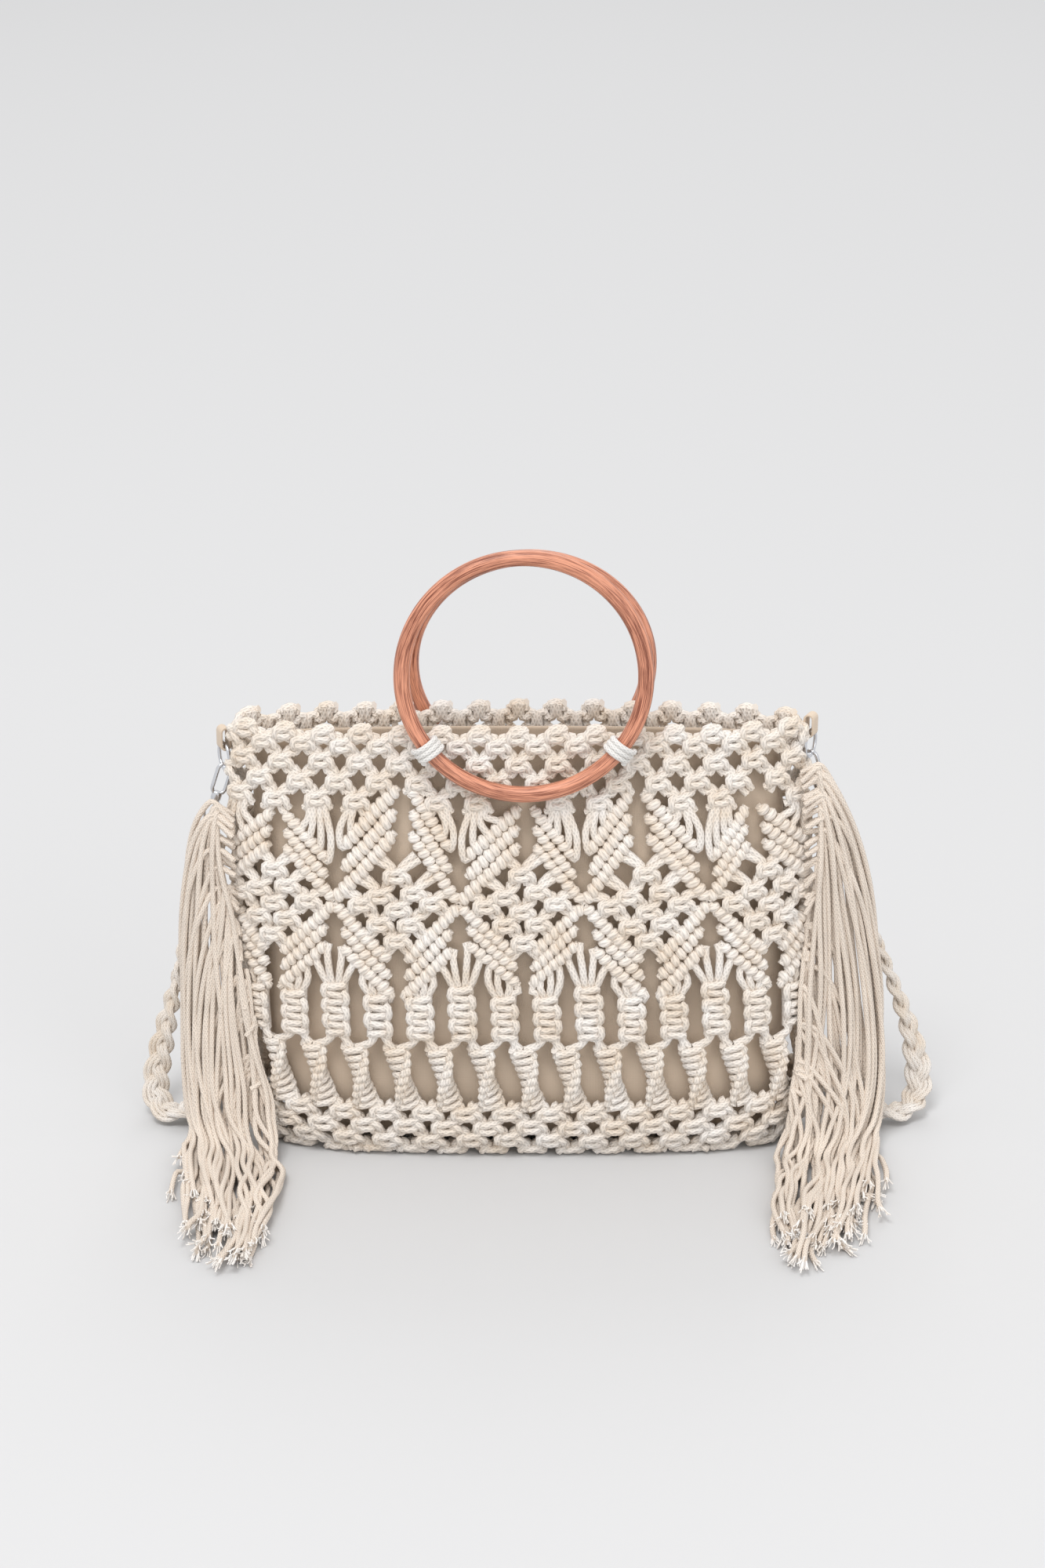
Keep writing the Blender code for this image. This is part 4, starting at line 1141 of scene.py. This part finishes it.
def build_fringe(name, sign, lift, seed, cotton, frays):
    """Fringe of loose cords down one side seam."""
    generator = random.Random(seed)
    guides = fringe_guides(sign, lift)
    cords = []
    strands = []
    for index in range(FRINGE_COUNT):
        fall = max(FRINGE_STARTS[index % len(FRINGE_STARTS)] + generator.uniform(-0.03, 0.04), 0.0)
        across = 0.02 + 0.96 * (index + generator.uniform(0.1, 0.9)) / FRINGE_COUNT
        if fall > 0.2:
            across *= 0.72
        end = generator.uniform(0.84, 0.99)
        layer = FRINGE_LAYERS[index % len(FRINGE_LAYERS)]
        line = fringe_cord(guides, sign, across, fall, end, layer, generator)
        cords.append(line)
        strands += frayed(line, generator)
    data = cord_mesh(name + "_cords", cords, settings().fringe_width / 2.0, 1)
    add_piece(name + "_cords", data, cotton, "fringe_cotton", name)
    data = cord_mesh(name + "_ends", strands, FRAY_RADIUS, 0)
    add_piece(name + "_ends", data, frays, "fringe_cotton", name)


def hardware_frame(sign, back, ring_share):
    """Place and turn of the tab, chrome ring and hook at one side."""
    lean_out = TAB_WIDTH / 2.0 * math.sin(HOOK_TURN)
    half_tab = CHROME_WIRE / 2.0 + 2.0 * PIECE_GAP + TAB_CLOTH
    top = ring_share + CHROME_RING_RADIUS / BODY_HEIGHT
    x = seam_out(top, sign) + sign * (lean_out + half_tab - TAB_SEAT)
    place = Matrix.Translation((x, back, ring_share * BODY_HEIGHT))
    return place @ Matrix.Rotation(-sign * HOOK_TURN, 4, "Z")


def hook_frame(sign, place):
    """Place and turn of a snap hook swung outwards about the bottom of its ring."""
    pivot = Matrix.Translation((0.0, 0.0, -CHROME_RING_RADIUS))
    back = Matrix.Translation((0.0, 0.0, CHROME_RING_RADIUS))
    return place @ pivot @ Matrix.Rotation(-sign * HOOK_SWING, 4, "Y") @ back


def hook_foot(sign, back, ring_share):
    """Two points just under the eye of a snap hook, the upper one first."""
    place = hook_frame(sign, hardware_frame(sign, back, ring_share))
    upper = place @ Vector((0.0, 0.0, -CHROME_RING_RADIUS - EYE_DROP))
    lower = place @ Vector((0.0, 0.0, -CHROME_RING_RADIUS - EYE_DROP - 0.007))
    return [tuple(upper), tuple(lower)]


def strap_route():
    """Route points of the strap in metres."""
    route = []
    for table, sign in ((STRAP_LEFT, -1.0), (STRAP_RIGHT, 1.0)):
        if sign > 0.0:
            for side, back, share in STRAP_BACK:
                route.append((side * HALF_WIDTH, back * BODY_DEPTH, share * BODY_HEIGHT))
        for out, back, share in table:
            x = seam_out(share, sign) + sign * out * STRAP_OUT
            z = max(share * BODY_HEIGHT, STRAP_DIAMETER / 2.0 + PIECE_GAP)
            route.append((x, back * BODY_DEPTH, z))
    start = hook_foot(SIDES[0][1], SIDES[0][3], SIDES[0][4])
    end = hook_foot(SIDES[1][1], SIDES[1][3], SIDES[1][4])
    return start + route + end[::-1]


def strap_line(spacing):
    """Middle line of the strap at even steps, with its side and upward directions."""
    route = strap_route()
    fine = np.array([tuple(smooth_route(route, step / 1200.0)) for step in range(1201)])
    line = even_line(fine, int(line_length(fine) / spacing))
    ahead = np.gradient(line, axis=0)
    ahead /= np.linalg.norm(ahead, axis=1, keepdims=True)
    up = np.zeros_like(line)
    up[:, 2] = 1.0
    up -= ahead * (up * ahead).sum(1, keepdims=True)
    kernel = np.hanning(41)
    kernel /= kernel.sum()
    for axis in range(3):
        padded = np.pad(up[:, axis], 20, mode="edge")
        up[:, axis] = np.convolve(padded, kernel, mode="valid")
    up -= ahead * (up * ahead).sum(1, keepdims=True)
    up /= np.linalg.norm(up, axis=1, keepdims=True)
    side = np.cross(ahead, up)
    return line, side, up


def build_strap(material):
    """Braided strap of three bundles of three cords."""
    line, side, up = strap_line(0.0022)
    steps = np.arange(len(line)) * (line_length(line) / (len(line) - 1))
    total = steps[-1]
    squeeze = np.clip(np.minimum(steps, total - steps) / 0.010, 0.55, 1.0)[:, None]
    cords = []
    turns = round(total / 0.042)
    for bundle in range(3):
        phase = 2.0 * math.pi * (steps / total * turns + bundle / 3.0)
        across = 0.0046 * np.sin(phase)
        rise = 0.0019 * np.sin(2.0 * phase)
        slope = 0.0046 * np.cos(phase) * 2.0 * math.pi * turns / total
        for strand in (-1.0, 0.0, 1.0):
            offset = strand * 0.0027
            lean = np.sqrt(1.0 + slope ** 2)
            spread = across + offset * (0.55 + 0.45 / lean)
            lift = rise + (0.0004 if strand == 0.0 else 0.0)
            cords.append(line + side * spread[:, None] * squeeze + up * lift[:, None] * squeeze)
    for end in (0, -1):
        origin = line[end]
        heading = line[1] - line[0] if end == 0 else line[-2] - line[-1]
        heading /= np.linalg.norm(heading)
        one = side[end]
        two = up[end]
        whip = []
        for step in range(61):
            share = step / 60.0
            turn = share * 8.0 * math.pi
            reach = 0.0052
            spot = origin + heading * (0.0015 + 0.011 * share)
            whip.append(spot + one * reach * math.cos(turn) + two * reach * 0.8 * math.sin(turn))
        cords.append(np.array(whip))
    data = cord_mesh("braided_strap", cords, 0.00155, 1)
    item = add_piece("braided_strap", data, material, "strap_cotton", "shoulder_strap")


def stadium(half_width, half_height, steps):
    """Points of an upright slot outline with round ends, in the plane of x and z."""
    points = []
    for end in (1.0, -1.0):
        for step in range(steps + 1):
            turn = step / steps * math.pi
            x = half_width * math.cos(turn) * end
            z = (half_height - half_width + half_width * math.sin(turn)) * end
            points.append((x, 0.0, z))
    return points


def add_barrel(shape, radius, length, height):
    """A turned barrel on the upright axis, added to a shape."""
    made = bmesh.ops.create_cone(shape, cap_ends=True, segments=32, radius1=radius, radius2=radius,
                                 depth=length, matrix=Matrix.Translation((0.0, 0.0, height)))["verts"]
    rims = {edge for vertex in made for edge in vertex.link_edges}
    rims = [edge for edge in rims if abs(edge.verts[0].co.z - edge.verts[1].co.z) < 1e-6]
    bmesh.ops.bevel(shape, geom=rims, offset=0.0006, offset_type="OFFSET", segments=2, profile=0.5,
                    affect="EDGES", material=-1)


def build_chrome_ring(name, place, material):
    """Round wire ring hanging in the tab."""
    points = []
    for step in range(64):
        turn = step / 64.0 * 2.0 * math.pi
        points.append((0.0, CHROME_RING_RADIUS * math.cos(turn), CHROME_RING_RADIUS * math.sin(turn)))
    data = cord_mesh(name, [np.array(points)], CHROME_WIRE / 2.0, 4, True)
    data.transform(place)
    add_piece(name, data, material, "polished_chrome", name)


def build_snap_hook(name, place, material):
    """Trigger clasp: hook, gate with its thumb piece, swivel barrel and eye."""
    wire = CHROME_WIRE / 2.0
    top = -CHROME_RING_RADIUS + CHROME_WIRE + 2.0 * PIECE_GAP
    low = top - 0.0095
    bottom = low - 0.0095
    shape = bmesh.new()
    hook = np.array([(x, y, z + low) for x, y, z in stadium(0.0042, 0.0095, 24)])
    eye = np.array([(x, y, z + bottom - 0.0105) for x, y, z in stadium(0.0048, 0.0054, 24)])
    thumb = np.array([(0.0042, 0.0, low - 0.001), (0.0058, 0.0, low - 0.0014), (0.0068, 0.0, low - 0.0016)])
    for line, radius, closed in ((hook, wire, True), (eye, wire, True), (thumb, 0.0008, False)):
        data = cord_mesh(name, [line], radius, 3, closed)
        shape.from_mesh(data)
        bpy.data.meshes.remove(data)
    for radius, length, drop in ((0.0031, 0.0050, 0.0010), (0.0024, 0.0030, 0.0048),
        (0.0029, 0.0012, 0.0042)):
        add_barrel(shape, radius, length, bottom - drop)
    data = shape_mesh(name, shape)
    data.transform(place)
    add_piece(name, data, material, "polished_chrome", name)


def build_tab(name, place, material):
    """Folded canvas loop that holds the chrome ring."""
    hole = CHROME_WIRE / 2.0 + 2.0 * PIECE_GAP
    curve = bpy.data.curves.new(name, "CURVE")
    curve.dimensions = "2D"
    curve.fill_mode = "BOTH"
    curve.extrude = TAB_WIDTH / 2.0 - TAB_EDGE
    curve.bevel_depth = TAB_EDGE
    curve.bevel_resolution = 2
    for grow in (TAB_CLOTH - TAB_EDGE, TAB_EDGE):
        points = stadium(hole + grow, TAB_HALF_HEIGHT - TAB_CLOTH + grow, 16)
        spline = curve.splines.new("POLY")
        spline.points.add(len(points) - 1)
        for spot, point in zip(spline.points, points):
            spot.co = (point[0], point[2], 0.0, 1.0)
        spline.use_cyclic_u = True
    data = curve_mesh(name, curve)
    shape = bmesh.new()
    shape.from_mesh(data)
    bmesh.ops.remove_doubles(shape, verts=shape.verts, dist=MERGE_DISTANCE)
    bmesh.ops.recalc_face_normals(shape, faces=shape.faces)
    shape.to_mesh(data)
    shape.free()
    sag = CHROME_RING_RADIUS - math.sqrt(CHROME_RING_RADIUS ** 2 - (TAB_WIDTH / 2.0) ** 2)
    rise = CHROME_RING_RADIUS - sag + TAB_HALF_HEIGHT - TAB_CLOTH - hole - PIECE_GAP
    data.transform(place @ Matrix.Translation((0.0, 0.0, rise)) @ Matrix.Rotation(math.pi / 2.0, 4, "X"))
    add_piece(name, data, material, "lining_canvas", name)


def build_stage():
    """Pale floor and soft light."""
    shape = bmesh.new()
    bmesh.ops.create_grid(shape, x_segments=2, y_segments=2, size=6.0)
    data = bpy.data.meshes.new("floor")
    shape.to_mesh(data)
    shape.free()
    floor = add_object("floor", data)
    data.materials.append(floor_material("pale_floor", settings().floor_colour))
    floor.location = (0.0, 0.0, -FLOOR_GAP)
    world = bpy.data.worlds.new("studio")
    world.use_nodes = True
    background = world.node_tree.nodes["Background"]
    background.inputs["Color"].default_value = (1.0, 1.0, 1.0, 1.0)
    background.inputs["Strength"].default_value = 0.90
    bpy.context.scene.world = world
    bpy.context.scene.view_settings.view_transform = "Standard"
    for label, place, size, power in LAMPS:
        data = bpy.data.lights.new(label, "AREA")
        data.energy = power
        data.size = size
        lamp = bpy.data.objects.new(label, data)
        bpy.context.scene.collection.objects.link(lamp)
        lamp.location = place
        lamp.rotation_euler = (Vector((0.0, 0.0, 0.12)) - Vector(place)).to_track_quat("-Z", "Y").to_euler()


def build_camera():
    """Camera at the photograph's angle."""
    data = bpy.data.cameras.new("camera")
    data.lens = 78.3
    data.sensor_width = 36.0
    data.sensor_height = 36.0
    data.sensor_fit = "VERTICAL"
    camera = bpy.data.objects.new("camera", data)
    bpy.context.scene.collection.objects.link(camera)
    pitch = math.radians(21.0)
    aim = Vector((0.0007, 0.0, 0.222))
    camera.location = aim + Vector((0.0, -2.0 * math.cos(pitch), 2.0 * math.sin(pitch)))
    camera.rotation_euler = (math.pi / 2.0 - pitch, 0.0, 0.0)
    bpy.context.scene.camera = camera


def colour_setting(name, description, default):
    """A colour among the settings."""
    return bpy.props.FloatVectorProperty(
        name=name, description=description, default=default, size=3, min=0.0, max=1.0, subtype="COLOR")


class HandbagSettings(bpy.types.PropertyGroup):
    """Sizes and colours of the handbag."""
    cord_width: bpy.props.FloatProperty(
        name="Cord Width", description="Thickness of the cotton cord", default=0.0047,
        min=0.002, max=0.006, subtype="DISTANCE", unit="LENGTH")
    fringe_width: bpy.props.FloatProperty(
        name="Fringe Cord Width", description="Thickness of the cord of the fringes", default=0.0034,
        min=0.002, max=0.005, subtype="DISTANCE", unit="LENGTH")
    cord_colour: colour_setting("Cord", "Colour of the knotted cord", (0.90, 0.85, 0.80))
    cord_shade: colour_setting("Cord Shade", "Darker colour within the cord", (0.81, 0.70, 0.585))
    fringe_colour: colour_setting("Fringe", "Colour of the fringe", (0.88, 0.77, 0.665))
    tie_colour: colour_setting("Ties", "Colour of the turns round the handles", (0.88, 0.86, 0.83))
    canvas_colour: colour_setting("Lining", "Colour of the canvas lining", (0.69, 0.565, 0.445))
    wood_colour: colour_setting("Wood", "Colour of the handles", (0.755, 0.325, 0.20))
    wood_streak: colour_setting("Wood Grain", "Colour of the grain of the handles", (0.20, 0.050, 0.022))
    floor_colour: colour_setting("Floor", "Colour of the floor", (0.60, 0.60, 0.605))


class HANDBAG_OT_camera(bpy.types.Operator):
    """Set the camera."""
    bl_idname = "handbag.camera"
    bl_label = "Camera"

    def execute(self, context):
        build_camera()
        return {"FINISHED"}


class HANDBAG_OT_strap(bpy.types.Operator):
    """Make the braided strap."""
    bl_idname = "handbag.strap"
    bl_label = "Strap"

    def execute(self, context):
        held = settings()
        build_strap(cord_material("strap_cord", held.cord_colour, held.cord_shade))
        return {"FINISHED"}


class HANDBAG_OT_panels(bpy.types.Operator):
    """Make the knotted panels and the knotted bottom."""
    bl_idname = "handbag.panels"
    bl_label = "Panels"

    def execute(self, context):
        held = settings()
        cotton = cord_material("knotted_cord", held.cord_colour, held.cord_shade)
        build_panel("front", "front_net", 1.0, 3, cotton)
        build_panel("back", "back_net", -1.0, 17, cotton)
        build_base(cotton)
        return {"FINISHED"}


class HANDBAG_OT_lining(bpy.types.Operator):
    """Make the canvas lining."""
    bl_idname = "handbag.lining"
    bl_label = "Lining"

    def execute(self, context):
        colour = Vector(settings().canvas_colour)
        build_lining(canvas_material("canvas", colour))
        return {"FINISHED"}


class HANDBAG_OT_handles(bpy.types.Operator):
    """Make the wooden handles and their ties."""
    bl_idname = "handbag.handles"
    bl_label = "Handles"

    def execute(self, context):
        held = settings()
        wood = wood_material("stained_wood", held.wood_colour, held.wood_streak)
        tie = Vector(held.tie_colour)
        build_handles(wood, cord_material("tie_cord", tie, tie * 0.9))
        return {"FINISHED"}


class HANDBAG_OT_fringes(bpy.types.Operator):
    """Make the fringes at both sides."""
    bl_idname = "handbag.fringes"
    bl_label = "Fringes"

    def execute(self, context):
        colour = Vector(settings().fringe_colour)
        cotton = cord_material("fringe_cord", colour, colour * 0.9)
        frays = fray_material("frayed_cord", colour)
        for index, (side, sign, lift, back, ring_share) in enumerate(SIDES):
            build_fringe(side + "_fringe", sign, lift, 23 + index, cotton, frays)
        return {"FINISHED"}


class HANDBAG_OT_hardware(bpy.types.Operator):
    """Make the canvas tabs, chrome rings and snap hooks."""
    bl_idname = "handbag.hardware"
    bl_label = "Hardware"

    def execute(self, context):
        chrome = chrome_material("chrome")
        colour = Vector(settings().canvas_colour)
        canvas = canvas_material("tab_canvas", colour)
        for side, sign, lift, back, ring_share in SIDES:
            place = hardware_frame(sign, back, ring_share)
            build_tab(side + "_tab", place, canvas)
            build_chrome_ring(side + "_chrome_ring", place, chrome)
            build_snap_hook(side + "_snap_hook", hook_frame(sign, place), chrome)
        return {"FINISHED"}


class HANDBAG_OT_stage(bpy.types.Operator):
    """Make the floor and the lights."""
    bl_idname = "handbag.stage"
    bl_label = "Stage"

    def execute(self, context):
        build_stage()
        return {"FINISHED"}


class HANDBAG_PT_panel(bpy.types.Panel):
    """Sidebar panel with the bag's sizes, colours and pieces."""
    bl_label = "Handbag"
    bl_idname = "HANDBAG_PT_panel"
    bl_space_type = "VIEW_3D"
    bl_region_type = "UI"
    bl_category = "Handbag"

    def draw(self, context):
        held = context.scene.handbag
        column = self.layout.column()
        for name in HandbagSettings.__annotations__:
            column.prop(held, name)
        for step in STEPS:
            column.operator("handbag." + step)


STEPS = ("camera", "strap", "panels", "lining", "handles", "fringes", "hardware", "stage")
CLASSES = (HandbagSettings, HANDBAG_OT_camera, HANDBAG_OT_strap, HANDBAG_OT_panels, HANDBAG_OT_lining,
           HANDBAG_OT_handles, HANDBAG_OT_fringes, HANDBAG_OT_hardware, HANDBAG_OT_stage, HANDBAG_PT_panel)


def register():
    """Add the settings, operators and panel."""
    for item in CLASSES:
        bpy.utils.register_class(item)
    bpy.types.Scene.handbag = bpy.props.PointerProperty(type=HandbagSettings)


def unregister():
    """Take the settings, operators and panel away."""
    del bpy.types.Scene.handbag
    for item in reversed(CLASSES):
        bpy.utils.unregister_class(item)


def main():
    """Build every piece in order."""
    register()
    for step in STEPS:
        getattr(bpy.ops.handbag, step)()


if __name__ == "__main__":
    main()
